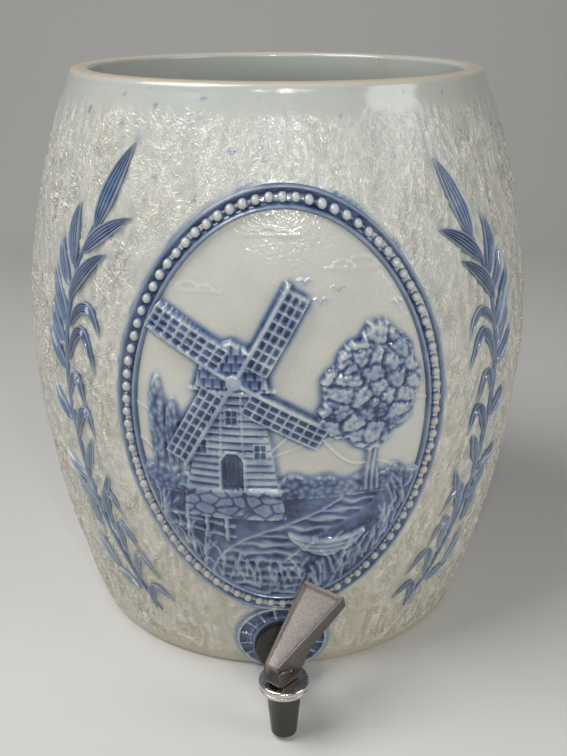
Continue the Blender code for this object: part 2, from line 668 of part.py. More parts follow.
def make_shank_fittings(rubber, nylon, plastic):
    bore = SHANK_RADIUS + FIT_GAP
    end = OUTER_GASKET_AT + OUTER_GASKET_THICKNESS
    face_outward(make_ring("outer_gasket", bore, OUTER_GASKET_RADIUS, OUTER_GASKET_AT, end, rubber))
    end = INNER_GASKET_AT + INNER_GASKET_THICKNESS
    face_outward(make_ring("inner_gasket", bore, INNER_GASKET_RADIUS, INNER_GASKET_AT, end, rubber))
    end = SLIP_WASHER_AT + SLIP_WASHER_THICKNESS
    face_outward(make_ring("slip_washer", bore, SLIP_WASHER_RADIUS, SLIP_WASHER_AT, end, nylon))
    hex_radius = NUT_ACROSS_FLATS / 2 / math.cos(math.radians(30))
    nut_front = NUT_AT + NUT_THICKNESS
    nut = face_outward(make_rod("lock_nut", hex_radius, NUT_AT, nut_front, sides=6))
    nut.data.materials.append(plastic)
    collar = make_rod("nut_collar_guide", NUT_COLLAR_RADIUS, nut_front - NUT_COLLAR_THICKNESS, nut_front)
    collar_step = apply_boolean(nut, face_outward(collar), "UNION")
    collar_step.use_self = True
    bore_cutter = make_rod("nut_bore_cutter", bore, NUT_AT - CUT_OVERRUN, nut_front + CUT_OVERRUN)
    apply_boolean(nut, face_outward(bore_cutter), "DIFFERENCE")


def make_bonnet(chrome):
    groove_low = BONNET_GROOVE_HEIGHT - BONNET_GROOVE_BREADTH / 2
    groove_high = BONNET_GROOVE_HEIGHT + BONNET_GROOVE_BREADTH / 2
    groove_r = BONNET_RADIUS - BONNET_GROOVE_DEPTH
    cavity_r = BODY_COLLAR_RADIUS + FIT_GAP
    points = [(cavity_r, BONNET_BOTTOM), (BONNET_FOOT_RADIUS, BONNET_BOTTOM)]
    points += [(BONNET_RADIUS, groove_low - BONNET_GROOVE_BREADTH), (BONNET_RADIUS, groove_low)]
    points += [(groove_r, BONNET_GROOVE_HEIGHT), (BONNET_RADIUS, groove_high)]
    points += arc(BONNET_RADIUS - BONNET_ROUND, BONNET_TOP - BONNET_ROUND, BONNET_ROUND, 0, 90, ROUND_STEPS)
    points += [(BONNET_HOLE_RADIUS, BONNET_TOP), (BONNET_HOLE_RADIUS, BONNET_ROOF_AT)]
    points += [(cavity_r, BONNET_ROOF_AT)]
    bonnet = make_turned("bonnet", points, chrome, closed=True)
    bonnet.location = (0, -VALVE_REACH, 0)
    return bonnet


def make_seat_cup(silicone, anchor):
    """A cup whose flange is clamped under the bonnet and whose tip closes the outlet."""
    flange_top = CUP_FLANGE_AT + CUP_FLANGE_THICKNESS
    inside = CUP_RADIUS - CUP_WALL
    profile = [
        (0, CUP_BOTTOM), (CUP_TIP_RADIUS, CUP_BOTTOM), (CUP_RADIUS, CUP_POCKET),
        (CUP_RADIUS, CUP_FLANGE_AT), (CUP_FLANGE_RADIUS, CUP_FLANGE_AT), (CUP_FLANGE_RADIUS, flange_top),
        (inside, flange_top), (inside, CUP_POCKET), (0, CUP_POCKET),
    ]
    cup = make_turned("seat_cup", profile, silicone, VALVE_SIDES)
    cup.parent = anchor
    return cup


def make_stem(plastic, anchor):
    shoulder = STEM_RADIUS * 0.3
    profile = [
        (0, STEM_BOTTOM), (STEM_FOOT_RADIUS, STEM_BOTTOM), (STEM_FOOT_RADIUS, STEM_FOOT_TOP),
        (STEM_RADIUS, STEM_FOOT_TOP), (STEM_RADIUS, PIN_HEIGHT + shoulder),
        (STEM_RADIUS * 0.85, PIN_HEIGHT + STEM_RADIUS * 0.75),
        (STEM_RADIUS * 0.4, PIN_HEIGHT + STEM_RADIUS * 1.08), (0, PIN_HEIGHT + STEM_RADIUS * 1.15),
    ]
    stem = make_turned("valve_stem", profile, plastic, VALVE_SIDES)
    stem.parent = anchor
    hole = make_rod("stem_hole_cutter", PIN_HOLE_RADIUS, -STEM_RADIUS * 2, STEM_RADIUS * 2, VALVE_SIDES // 2)
    hole.rotation_euler = (0, math.radians(90), 0)
    hole.location = (0, 0, PIN_HEIGHT)
    hole.parent = anchor
    apply_boolean(stem, hole, "DIFFERENCE")
    return stem


def make_spring(steel, anchor):
    """A helix of round wire between the stem's foot and the bonnet's roof."""
    low = STEM_FOOT_TOP + FIT_GAP + SPRING_WIRE / 2
    high = BONNET_ROOF_AT - FIT_GAP - SPRING_WIRE / 2
    coil_radius = CUP_RADIUS - CUP_WALL - FIT_GAP - SPRING_WIRE / 2
    steps = SPRING_TURNS * SPRING_POINTS_PER_TURN
    curve = bpy.data.curves.new("return_spring", "CURVE")
    curve.dimensions = "3D"
    curve.bevel_depth = SPRING_WIRE / 2
    curve.bevel_resolution = 1
    curve.use_fill_caps = True
    wire = curve.splines.new("POLY")
    wire.points.add(steps)
    for i in range(steps + 1):
        angle = math.tau * i / SPRING_POINTS_PER_TURN
        rise = low + (high - low) * i / steps
        wire.points[i].co = (coil_radius * math.cos(angle), coil_radius * math.sin(angle), rise, 1)
    curve.materials.append(steel)
    spring = bpy.data.objects.new("return_spring", curve)
    bpy.context.scene.collection.objects.link(spring)
    spring.parent = anchor
    return spring


# Lever, in a frame with its origin on the pin: X along the pin, Y towards the tray's wide end

def tray_half_breadth(y, z):
    """Half the lever's breadth, which grows evenly along the tray."""
    rise = math.radians(LEVER_RISE_DEG)
    front = cam_point(math.radians(CAM_END_DEG))[0]
    along = (y - front) * math.cos(rise) + (z - TRAY_START_RISE) * math.sin(rise)
    flare = (TRAY_WIDE_BREADTH - TRAY_NARROW_BREADTH) / TRAY_LENGTH
    return (TRAY_NARROW_BREADTH + along * flare) / 2


def make_recess_cutter():
    """The tray's hollow: its floor falls towards the wide end and its walls have draft."""
    shape = bmesh.new()
    far = TRAY_LENGTH - TRAY_BORDER
    near = -CUT_OVERRUN
    layers = []
    for near_depth, far_depth, draft in (
        (-CUT_OVERRUN, -CUT_OVERRUN, 0),
        (0, 0, 0),
        (TRAY_RECESS_NEAR, TRAY_RECESS_FAR, TRAY_RECESS_DRAFT),
    ):
        corners = []
        for along, depth, side in (
            (near, near_depth, -1), (near, near_depth, 1), (far - draft, far_depth, 1), (far - draft, far_depth, -1),
        ):
            y, z = tray_point(along, 0)
            half = tray_half_breadth(y, z) - TRAY_BORDER - draft * max(depth, 0) / TRAY_RECESS_FAR
            y, z = tray_point(along, depth)
            corners.append(shape.verts.new((side * half, y, z)))
        layers.append(corners)
    for upper, lower in zip(layers, layers[1:]):
        for i in range(4):
            j = (i + 1) % 4
            shape.faces.new((upper[i], upper[j], lower[j], lower[i]))
    shape.faces.new(layers[0])
    shape.faces.new(reversed(layers[-1]))
    return add_object("tray_recess_cutter", shape)


def make_slot_cutter():
    """Room for the stem's head from upright to the lever's full travel."""
    travel = math.radians(LEVER_TRAVEL_DEG)
    far = TRAY_ROOT_ALONG
    outline = [(SLOT_REACH, -far), (SLOT_REACH, 0)]
    for i in range(1, 5):
        angle = (math.radians(90) + travel) * i / 4
        outline.append((SLOT_REACH * math.cos(angle), SLOT_REACH * math.sin(angle)))
    edge_y, edge_z = outline[-1]
    outline.append((edge_y - far * math.sin(travel), edge_z - far * math.cos(travel)))
    outline.append((outline[-1][0], -far))
    half = STEM_RADIUS + FIT_GAP
    return make_prism("slot_cutter", outline, lambda y, z: half)


def make_lever(plastic, anchor):
    front = cam_point(math.radians(CAM_END_DEG))[0]
    waist = LEVER_WAIST_HEIGHT - FOOT_BACK_RISE
    wedge = [
        tray_point(0, 0), tray_point(TRAY_LENGTH, 0),
        tray_point(TRAY_LENGTH - TRAY_TIP_SLANT, TRAY_TIP_DEPTH),
        tray_point(TRAY_ROOT_ALONG, TRAY_ROOT_DEPTH),
        (LEVER_WAIST_BACK, LEVER_WAIST_HEIGHT), (FOOT_BACK - FIT_GAP, waist), (front, waist),
    ]
    lever = make_prism("lever", wedge, tray_half_breadth, plastic)
    foot = [(FOOT_BACK, -PIN_TO_FOOT + FOOT_BACK_RISE), (FOOT_BACK_FLAT, -PIN_TO_FOOT)]
    foot += [cam_point(math.radians(CAM_END_DEG) * i / CAM_STEPS) for i in range(CAM_STEPS + 1)]
    foot += [(front, FOOT_FRONT_TOP), (FOOT_BACK, FOOT_BACK_TOP)]
    foot_guide = make_prism("lever_foot_guide", foot, lambda y, z: FOOT_HALF_BREADTH)
    pin_bore = make_rod("pin_bore_cutter", PIN_HOLE_RADIUS, -CUT_OVERRUN * 3, CUT_OVERRUN * 3, VALVE_SIDES // 2)
    pin_bore.rotation_euler = (0, math.radians(90), 0)
    rounding = lever.modifiers.new("Edge round", "BEVEL")
    rounding.width = LEVER_EDGE_ROUND
    rounding.segments = 1
    tools = [(foot_guide, "UNION"), (make_recess_cutter(), "DIFFERENCE")]
    tools += [(make_slot_cutter(), "DIFFERENCE"), (pin_bore, "DIFFERENCE")]
    for tool, operation in tools:
        tool.parent = lever
        apply_boolean(lever, tool, operation)
    lever.parent = anchor
    lever.location = (0, 0, PIN_HEIGHT)
    return lever


def make_pin(steel, anchor):
    half = FOOT_HALF_BREADTH - FIT_GAP
    pin = make_rod("hinge_pin", PIN_RADIUS, -half, half, VALVE_SIDES // 2)
    pin.data.materials.append(steel)
    pin.rotation_euler = (0, math.radians(90), 0)
    pin.location = (0, 0, PIN_HEIGHT)
    pin.parent = anchor
    return pin


def main():
    clear_scene()
    glaze = make_material("salt_glazed_stoneware", (0.42, 0.44, 0.40), 0.28)
    plastic = make_material("black_polypropylene", (0.02, 0.02, 0.02), 0.35)
    rubber = make_material("black_rubber", (0.015, 0.015, 0.015), 0.7)
    nylon = make_material("white_nylon", (0.75, 0.74, 0.70), 0.45)
    silicone = make_material("clear_silicone", (0.80, 0.80, 0.78), 0.4)
    chrome = make_material("chrome_plate", (0.80, 0.79, 0.77), 0.08, 1.0)
    steel = make_material("stainless_steel", (0.60, 0.60, 0.60), 0.25, 1.0)

    make_pot(glaze)
    make_tap_body(plastic)
    make_shank_fittings(rubber, nylon, plastic)
    make_bonnet(chrome)

    swivel = bpy.data.objects.new("swivel_axis", None)
    bpy.context.scene.collection.objects.link(swivel)
    swivel.location = (0, -VALVE_REACH, 0)
    swivel.rotation_euler = (0, 0, -math.radians(LEVER_SWIVEL_DEG))
    make_seat_cup(silicone, swivel)
    make_spring(steel, swivel)
    make_stem(plastic, swivel)
    make_pin(steel, swivel)
    make_lever(plastic, swivel)


main()
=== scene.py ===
import functools
import math

import bmesh
import bpy
import numpy as np
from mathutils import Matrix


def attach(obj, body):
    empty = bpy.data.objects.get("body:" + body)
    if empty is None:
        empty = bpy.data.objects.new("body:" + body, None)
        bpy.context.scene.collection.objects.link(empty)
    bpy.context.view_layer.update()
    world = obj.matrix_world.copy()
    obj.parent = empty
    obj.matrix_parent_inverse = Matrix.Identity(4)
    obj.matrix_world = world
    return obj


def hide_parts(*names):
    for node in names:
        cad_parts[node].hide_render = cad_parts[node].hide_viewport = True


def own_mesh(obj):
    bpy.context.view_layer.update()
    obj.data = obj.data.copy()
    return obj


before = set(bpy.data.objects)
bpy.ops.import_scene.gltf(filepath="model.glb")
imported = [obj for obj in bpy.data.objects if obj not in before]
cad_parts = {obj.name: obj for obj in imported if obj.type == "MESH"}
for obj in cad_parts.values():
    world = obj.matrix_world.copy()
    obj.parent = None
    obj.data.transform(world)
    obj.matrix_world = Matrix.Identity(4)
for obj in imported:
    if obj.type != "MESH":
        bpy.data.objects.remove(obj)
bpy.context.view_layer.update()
mm = 0.001

# Camera

camera = dict(x=-10.4, y=-657.0, z=396.5, down=21.05, turn=1.235, lens=48.9)


def placeCamera():
    data = bpy.data.cameras.new("camera")
    data.lens = camera["lens"]
    item = bpy.data.objects.new("camera", data)
    bpy.context.scene.collection.objects.link(item)
    item.location = (camera["x"] * mm, camera["y"] * mm, camera["z"] * mm)
    item.rotation_euler = (math.radians(90 - camera["down"]), 0, -math.radians(camera["turn"]))
    bpy.context.scene.camera = item


placeCamera()
print("camera placed")


# Numbers: blends, noise, distances


# 0 below low, 1 above high, and 3t^2 - 2t^3 between them
def blend(low, high, x):
    t = np.clip((x - low) / (high - low), 0, 1)
    return t * t * (3 - 2 * t)


# Noise from random slopes at lattice points, about -1 to 1; u repeats after `around` cells
def slopeNoise(u, v, seed, around=256):
    angle = np.random.default_rng(seed).random((256, around)) * math.tau
    iu, iv = np.floor(u).astype(int), np.floor(v).astype(int)
    fu, fv = u - iu, v - iv
    su, sv = fu * fu * (3 - 2 * fu), fv * fv * (3 - 2 * fv)

    def corner(du, dv):
        a = angle[(iv + dv) % 256, (iu + du) % around]
        return np.cos(a) * (fu - du) + np.sin(a) * (fv - dv)

    low = corner(0, 0) * (1 - su) + corner(1, 0) * su
    high = corner(0, 1) * (1 - su) + corner(1, 1) * su
    return (low * (1 - sv) + high * sv) * 1.5


# Distance to the nearest random point, and how much further the second nearest is, in cells
def cellNoise(u, v, seed):
    spots = np.random.default_rng(seed).random((256, 256, 2))
    iu, iv = np.floor(u).astype(int), np.floor(v).astype(int)
    near = np.full(u.shape, 9.0)
    second = np.full(u.shape, 9.0)
    for du in (-1, 0, 1):
        for dv in (-1, 0, 1):
            spot = spots[(iv + dv) % 256, (iu + du) % 256]
            d = np.hypot(iu + du + spot[..., 0] - u, iv + dv + spot[..., 1] - v)
            second = np.minimum(second, np.maximum(near, d))
            near = np.minimum(near, d)
    return near, second - near


# Signed distance to a polygon, negative inside
def polygonDistance(x, y, corners):
    best = np.full(x.shape, 1e9)
    inside = np.zeros(x.shape, bool)
    for (ax, ay), (bx, by) in zip(corners, corners[1:] + corners[:1]):
        ex, ey = bx - ax, by - ay
        t = np.clip(((x - ax) * ex + (y - ay) * ey) / (ex * ex + ey * ey), 0, 1)
        best = np.minimum(best, np.hypot(x - ax - t * ex, y - ay - t * ey))
        crosses = (ay > y) != (by > y)
        inside ^= crosses & (x < ex * (y - ay) / (ey if ey else 1e-9) + ax)
    return np.where(inside, -best, best)


# Distance to a line of points
def pathDistance(x, y, points):
    best = np.full(x.shape, 1e9)
    for (ax, ay), (bx, by) in zip(points, points[1:]):
        ex, ey = bx - ax, by - ay
        t = np.clip(((x - ax) * ex + (y - ay) * ey) / (ex * ex + ey * ey + 1e-9), 0, 1)
        best = np.minimum(best, np.hypot(x - ax - t * ex, y - ay - t * ey))
    return best


# Mean over a square of 2 * reach + 1 samples, taken twice
def soften(field, reach):
    for axis in (0, 1, 0, 1):
        pad = [(0, 0), (0, 0)]
        pad[axis] = (reach + 1, reach)
        total = np.cumsum(np.pad(field, pad, mode="edge"), axis=axis)
        size = 2 * reach + 1
        field = (np.take(total, range(size, total.shape[axis]), axis) -
                 np.take(total, range(0, total.shape[axis] - size), axis)) / size
    return field


# Materials


# sRGB hex to the linear colour that a shader wants
def linear(code):
    channels = [int(code[i:i + 2], 16) / 255 for i in (1, 3, 5)]
    return tuple(c / 12.92 if c <= 0.04045 else ((c + 0.055) / 1.055) ** 2.4 for c in channels) + (1.0,)


# Sets a node's inputs from a list in their order, or a dict; a (node, output) pair is a link
def setInputs(node, inputs):
    for name, value in inputs.items() if isinstance(inputs, dict) else enumerate(inputs):
        if isinstance(value, tuple) and hasattr(value[0], "outputs"):
            node.id_data.links.new(value[0].outputs[value[1]], node.inputs[name])
        else:
            node.inputs[name].default_value = value


# Adds one node: its settings, its ramp stops and its inputs
def addNode(tree, kind, inputs=(), stops=(), **settings):
    node = tree.nodes.new("ShaderNode" + kind)
    for name, value in settings.items():
        setattr(node, name, value)
    for i, (place, code) in enumerate(stops):
        ramp = node.color_ramp.elements
        stop = ramp[i] if i < 2 else ramp.new(place)
        stop.position = place
        stop.color = linear(code)
    setInputs(node, inputs)
    return node


# A new material, the function that adds nodes to it, its shader, and its object coordinates
def startMaterial(name):
    material = bpy.data.materials.new(name)
    material.use_nodes = True
    add = functools.partial(addNode, material.node_tree)
    return material, add, material.node_tree.nodes["Principled BSDF"], (add("TexCoord"), "Object")


# The lower body's colour is warmer and also darker, a painted shade; the light colour is a painted highlight on
# crests
glaze = dict(
    cool="#BFC2BB", warmAndShaded="#B2A990", light="#DEDACE", bare="#D8C4A4", bareDark="#BBA07A", rust="#A06A3A",
    blues=((0.0, "#B4BAB7"), (1.0, "#28334F"), (0.28, "#93A1B0"), (0.52, "#6A7C98"), (0.78, "#465A80")),
    blotchSize=55, streakSize=9, speckSize=8, peelSize=1.6, roughness=0.15, peelBump=0.08, coat=0.6,
    coatRoughness=0.04, ior=1.52, warmAndShadedFrom=0.26, brushed=0.22, fineShare=0.6, grit=0.45,
    wormSize=5.4, fineWormSize=2.9, gritSize=1.4, wormWidth=0.08, stretch=0.62, barkBump=0.85, barkHeight=1.1,
    crestHighlight=0.9,
)


# Salt-glazed stoneware with brushed cobalt: glossy, its blue thin on crests and dark where it pools, with a painted
# highlight on crests and painted shade in hollows.
# Attributes: cobalt 0 to 1; a painted light value, -1 for painted shade in hollows to 1 for painted highlight on
# crests, which also pales the picture's ground; bark 0 to 1; bare 0 to 1 where unglazed.
def makeGlaze():
    g = glaze
    material, add, shader, place = startMaterial("saltGlazedStoneware")
    cobalt, paintedLightAndTint, bark, bare = ((add("Attribute", attribute_name=name), "Fac")
                                for name in ("cobalt", "paintedLightAndTint", "bark", "bare"))
    blotch, streak, grit, peel = (
        (add("TexNoise", {"Vector": place, "Scale": 1 / (size * mm), "Detail": detail, "Roughness": rough}), "Fac")
        for size, detail, rough in ((g["blotchSize"], 4.0, 0.6), (g["streakSize"], 5.0, 0.65),
                                    (g["gritSize"], 2.0, 0.6), (g["peelSize"], 2.0, 0.5)))

    # Bark: thin worm-like ridges where a warped noise crosses its middle, in two sizes, with grit between
    drawn = add("Mapping", {"Vector": place, "Scale": (1.0, 1.0, g["stretch"])})
    worms = []
    for size, share in ((g["wormSize"], 1.0), (g["fineWormSize"], g["fineShare"])):
        noise = add("TexNoise", {"Vector": (drawn, "Vector"), "Scale": 1 / (size * mm), "Detail": 1.5,
                                 "Roughness": 0.55, "Distortion": 0.9})
        off = add("Math", [(noise, "Fac"), 0.5], operation="SUBTRACT")
        away = add("Math", [(off, "Value")], operation="ABSOLUTE")
        worms.append((add("MapRange", [(away, "Value"), g["wormWidth"], 0.0, 0.0, share],
                          interpolation_type="SMOOTHSTEP"), "Result"))
    wormy = add("Math", worms, operation="MAXIMUM")
    rough = add("Math", [grit, g["grit"], (wormy, "Value")], operation="MULTIPLY_ADD")
    raised = add("Math", [(wormy, "Value"), bark], operation="MULTIPLY")

    # Body colour: cool grey above, beige and darker below (a warm tint with painted shade), in blotches, and paler on
    # every crest as a painted highlight
    height = add("SeparateXYZ", [place])
    low = add("MapRange", [(height, "Z"), g["warmAndShadedFrom"], 0.0, -0.1, 0.95])
    patchy = add("MapRange", [blotch, 0.3, 0.7, -0.25, 0.35])
    shifted = add("Math", [(low, "Result"), (patchy, "Result")], operation="ADD", use_clamp=True)
    ground = add("Mix", {0: (shifted, "Value"), 6: linear(g["cool"]), 7: linear(g["warmAndShaded"])}, data_type="RGBA")
    # Painted highlight: the bark's worm crests and every crest of the relief mixed towards the light colour
    crest = add("MapRange", [paintedLightAndTint, 0.0, 1.0, 0.0, 0.8])
    crests = add("Math", [(raised, "Value"), g["crestHighlight"], (crest, "Result")],
                 operation="MULTIPLY_ADD", use_clamp=True)
    pale = add("Mix", {0: (crests, "Value"), 6: (ground, 2), 7: linear(g["light"])}, data_type="RGBA")
    speck = add("TexVoronoi", {"Vector": place, "Scale": 1 / (g["speckSize"] * mm)})
    dots = add("MapRange", [(speck, "Distance"), 0.09, 0.05, 0.0, 0.5])
    few = add("MapRange", [blotch, 0.54, 0.64])
    dotted = add("Math", [(dots, "Result"), (few, "Result")], operation="MULTIPLY")
    speckled = add("Mix", {0: (dotted, "Value"), 6: (pale, 2), 7: linear(g["rust"])}, data_type="RGBA")

    # Cobalt: its strength wanders as a brush leaves it, and it breaks paler over the crests
    wash = add("MapRange", [streak, 0.3, 0.7, -g["brushed"], g["brushed"]])
    amount = add("Math", [cobalt, (wash, "Result"), cobalt], operation="MULTIPLY_ADD")
    blue = add("ValToRGB", [(amount, "Value")], stops=g["blues"])
    cover = add("MapRange", [(amount, "Value"), 0.02, 0.32])
    painted = add("Mix", {0: (cover, "Result"), 6: (speckled, 2), 7: (blue, "Color")}, data_type="RGBA")
    # Painted shade: the hollows darkened by up to a third
    hollow = add("MapRange", [paintedLightAndTint, -1.0, 0.0, 0.66, 1.0])
    shaded = add("Mix", {0: 1.0, 6: (painted, 2), 7: (hollow, "Result")}, data_type="RGBA", blend_type="MULTIPLY")

    # Bare fired clay, on the rim's top and the foot
    clay = add("Mix", {0: streak, 6: linear(g["bareDark"]), 7: linear(g["bare"])}, data_type="RGBA")
    edge = add("Math", [bare, (wash, "Result")], operation="ADD")
    wearAndSheen = add("MapRange", [(edge, "Value"), 0.3, 0.75])
    final = add("Mix", {0: (wearAndSheen, "Result"), 6: (shaded, 2), 7: (clay, 2)}, data_type="RGBA")

    gloss = add("MapRange", [streak, 0.3, 0.7, g["roughness"] - 0.05, g["roughness"] + 0.1])
    dry = add("Mix", {"Factor": (wearAndSheen, "Result"), "A": (gloss, "Result"), "B": 0.6})
    force = add("Math", [bark, g["barkBump"]], operation="MULTIPLY", use_clamp=True)
    coarse = add("Bump", {"Height": (rough, "Value"), "Strength": (force, "Value"),
                          "Distance": g["barkHeight"] * mm})
    fine = add("Bump", {"Height": peel, "Strength": g["peelBump"], "Distance": 0.3 * mm,
                        "Normal": (coarse, "Normal")})
    setInputs(shader, {"Base Color": (final, 2), "Roughness": (dry, 0), "Normal": (fine, "Normal"),
                       "Coat Normal": (fine, "Normal"), "Coat Weight": g["coat"],
                       "Coat Roughness": g["coatRoughness"], "IOR": g["ior"]})
    return material


# The third colour is a painted sheen, laid where the lever's tray would reflect the light
plastic = dict(colour="#1C1A19", dull="#3A3632", paintedSheen="#A2968F", roughness=0.3, grain=0.9, scuff=6)


# Black polypropylene, injection moulded: satin, with fine scuffs that catch the light.
# Its point attribute, 0 to 1, paints a greyish sheen, flecked like wear, where the lever's tray would reflect the
# light.
def makePlastic():
    p = plastic
    material, add, shader, place = startMaterial("mouldedPolypropylene")
    wearAndSheen = add("Attribute", attribute_name="wearAndSheen")
    scuff = add("TexNoise", {"Vector": place, "Scale": 1 / (p["scuff"] * mm), "Detail": 6.0, "Roughness": 0.7})
    grain = add("TexNoise", {"Vector": place, "Scale": 1 / (p["grain"] * mm), "Detail": 3.0})
    tint = add("Mix", {0: (scuff, "Fac"), 6: linear(p["colour"]), 7: linear(p["dull"])}, data_type="RGBA")
    # Painted sheen: the greyish colour mixed in, in flecks, as far as the point attribute says
    fleck = add("MapRange", [(grain, "Fac"), 0.3, 0.6, 0.45, 1.0])
    sheenFlecks = add("Math", [(wearAndSheen, "Fac"), (fleck, "Result")], operation="MULTIPLY")
    paintedSheen = add("Mix", {0: (sheenFlecks, "Value"), 6: (tint, 2), 7: linear(p["paintedSheen"])}, data_type="RGBA")
    gloss = add("MapRange", [(scuff, "Fac"), 0.35, 0.7, p["roughness"] - 0.06, p["roughness"] + 0.12])
    bump = add("Bump", {"Height": (grain, "Fac"), "Strength": 0.12, "Distance": 0.1 * mm})
    setInputs(shader, {"Base Color": (paintedSheen, 2), "Roughness": (gloss, "Result"), "Normal": (bump, "Normal"),
                       "IOR": 1.49})
    return material


chrome = dict(colour="#DCD6D0", dull="#8A8178", roughness=0.17, pit=1.6)


# Chrome plate on moulded plastic: mirror bright, with a haze of lime spots
def makeChrome():
    material, add, shader, place = startMaterial("chromePlate")
    haze = add("TexNoise", {"Vector": place, "Scale": 1 / (chrome["pit"] * mm), "Detail": 6.0, "Roughness": 0.75})
    spots = add("MapRange", [(haze, "Fac"), 0.55, 0.72])
    tint = add("Mix", {0: (spots, "Result"), 6: linear(chrome["colour"]), 7: linear(chrome["dull"])},
               data_type="RGBA")
    gloss = add("MapRange", [(haze, "Fac"), 0.4, 0.7, chrome["roughness"], chrome["roughness"] + 0.2])
    setInputs(shader, {"Base Color": (tint, 2), "Roughness": (gloss, "Result"), "Metallic": 1.0})
    return material


# A plain moulded or drawn material with slight mottling; size is the mottling's in millimetres
def makePlain(name, colour, other, roughness, size, metallic=0.0, ior=1.5):
    material, add, shader, place = startMaterial(name)
    mottle = add("TexNoise", {"Vector": place, "Scale": 1 / (size * mm), "Detail": 4.0})
    tint = add("Mix", {0: (mottle, "Fac"), 6: linear(colour), 7: linear(other)}, data_type="RGBA")
    bump = add("Bump", {"Height": (mottle, "Fac"), "Strength": 0.15, "Distance": 0.1 * mm})
    setInputs(shader, {"Base Color": (tint, 2), "Normal": (bump, "Normal"), "Roughness": roughness,
                       "Metallic": metallic, "IOR": ior})
    return material


stoneware = makeGlaze()
polypropylene = makePlastic()
chromePlate = makeChrome()
rubber = makePlain("nitrileRubber", "#161514", "#242220", 0.6, 1.2)
nylon = makePlain("naturalNylon", "#D8D4C8", "#C9C4B6", 0.42, 2.0)
silicone = makePlain("siliconeRubber", "#D6D6D0", "#C6C6C0", 0.38, 1.5, ior=1.41)
steel = makePlain("drawnStainlessSteel", "#B4B2AE", "#8F8D8A", 0.25, 0.6, metallic=1.0)
print("materials ready")


# Meshes


# Tubes of s stations with l points round each, as an array (n, s, l, 3) in millimetres. Each tube is
# closed by a flat cap at both ends, or, when joined, its last station meets its first.
def makeTubes(name, grid, material, body, joined=False, fields=None, replaces=(), smooth=35):
    n, s, l, _ = grid.shape
    station = np.arange(s if joined else s - 1)[:, None]
    spot = np.arange(l)[None, :]
    after, beside = (station + 1) % s, (spot + 1) % l
    corners = np.broadcast_arrays(station * l + spot, station * l + beside, after * l + beside, after * l + spot)
    start = np.arange(n)[:, None, None] * s * l
    faces = (np.stack(corners, -1).reshape(1, -1, 4) + start).reshape(-1, 4).tolist()
    if not joined:
        faces += (np.arange(l)[None, ::-1] + start[:, 0]).tolist()
        faces += (np.arange(l)[None, :] + (s - 1) * l + start[:, 0]).tolist()
    mesh = bpy.data.meshes.new(name)
    mesh.from_pydata(grid.reshape(-1, 3) * mm, [], faces)
    for field, values in (fields or {}).items():
        spread = np.broadcast_to(values, grid.shape[:3]).astype(np.float32).ravel()
        mesh.attributes.new(field, "FLOAT", "POINT").data.foreach_set("value", spread)
    work = bmesh.new()
    work.from_mesh(mesh)
    bmesh.ops.recalc_face_normals(work, faces=work.faces)
    work.to_mesh(mesh)
    work.free()
    mesh.materials.append(material)
    item = bpy.data.objects.new(name, mesh)
    bpy.context.scene.collection.objects.link(item)
    if body:
        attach(item, body)
    if replaces:
        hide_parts(*replaces)
    mesh.shade_smooth()
    mesh.set_sharp_from_angle(angle=math.radians(smooth))
    return item


# Cuts tools from a piece or joins them to it, keeps the result as its mesh, and removes the tools
def carve(piece, steps, smooth=35):
    for tool, operation in steps:
        step = piece.modifiers.new(operation, "BOOLEAN")
        step.operation = operation
        step.object = tool
        step.solver = "EXACT"
    bpy.context.view_layer.update()
    result = bpy.data.meshes.new_from_object(piece.evaluated_get(bpy.context.evaluated_depsgraph_get()))
    piece.modifiers.clear()
    piece.data = result
    for tool, operation in steps:
        bpy.data.objects.remove(tool)
    result.shade_smooth()
    result.set_sharp_from_angle(angle=math.radians(smooth))


# Replaces each corner of a closed (r, z) outline by a small arc, a quadratic curve between two cuts
def softOutline(outline, size, steps=3):
    points = []
    count = len(outline)
    for i in range(count):
        before, corner, after = (np.array(outline[(i + k) % count], float) for k in (-1, 0, 1))
        reach = min(size, np.linalg.norm(before - corner) * 0.45, np.linalg.norm(after - corner) * 0.45)
        a = corner + (before - corner) / (np.linalg.norm(before - corner) + 1e-9) * reach
        b = corner + (after - corner) / (np.linalg.norm(after - corner) + 1e-9) * reach
        for t in np.linspace(0, 1, steps):
            points.append((1 - t) ** 2 * a + 2 * t * (1 - t) * corner + t * t * b)
    return np.array(points)


# A ring turned from a closed (radius, height) outline. The axis runs up through (0, y), or out of the wall.
def makeTurned(name, outline, material, body, size=0.4, around=96, axis="up", replaces=(), solid=False):
    profile = softOutline(outline, size) if not solid else np.array(outline, float)
    turn = np.linspace(0, math.tau, around, endpoint=False)
    r, h = profile[:, 0][:, None], profile[:, 1][:, None]
    flat = np.stack(np.broadcast_arrays(r * np.cos(turn), r * np.sin(turn), h + 0 * turn), -1)
    if axis == "up":
        grid = flat + np.array([0, tap["valveY"], 0])
    else:
        grid = np.stack([flat[..., 0], -flat[..., 2], flat[..., 1] + tap["height"]], -1)
    return makeTubes(name, grid[None], material, body, joined=not solid, replaces=replaces)


# The barrel

barrel = dict(
    height=350.0, bellyHeight=190.0, bellyRadius=158.5, rimRadius=124.5, footRadius=124.0, curve=1.87, wall=11.8,
    floor=9.0, footRound=5.0, lipRound=4.0, mouthRound=3.0, floorRound=8.0,
    columns=440, rows=168, innerRows=20, wobble=0.35, under=(2.0, 40.0, 80.0, 112.0),
)
bark = dict(across=8.0, up=14.0, depth=1.5, warp=6.0, smoothTop=331.0, smoothFoot=7.0)
around = math.tau * barrel["bellyRadius"]


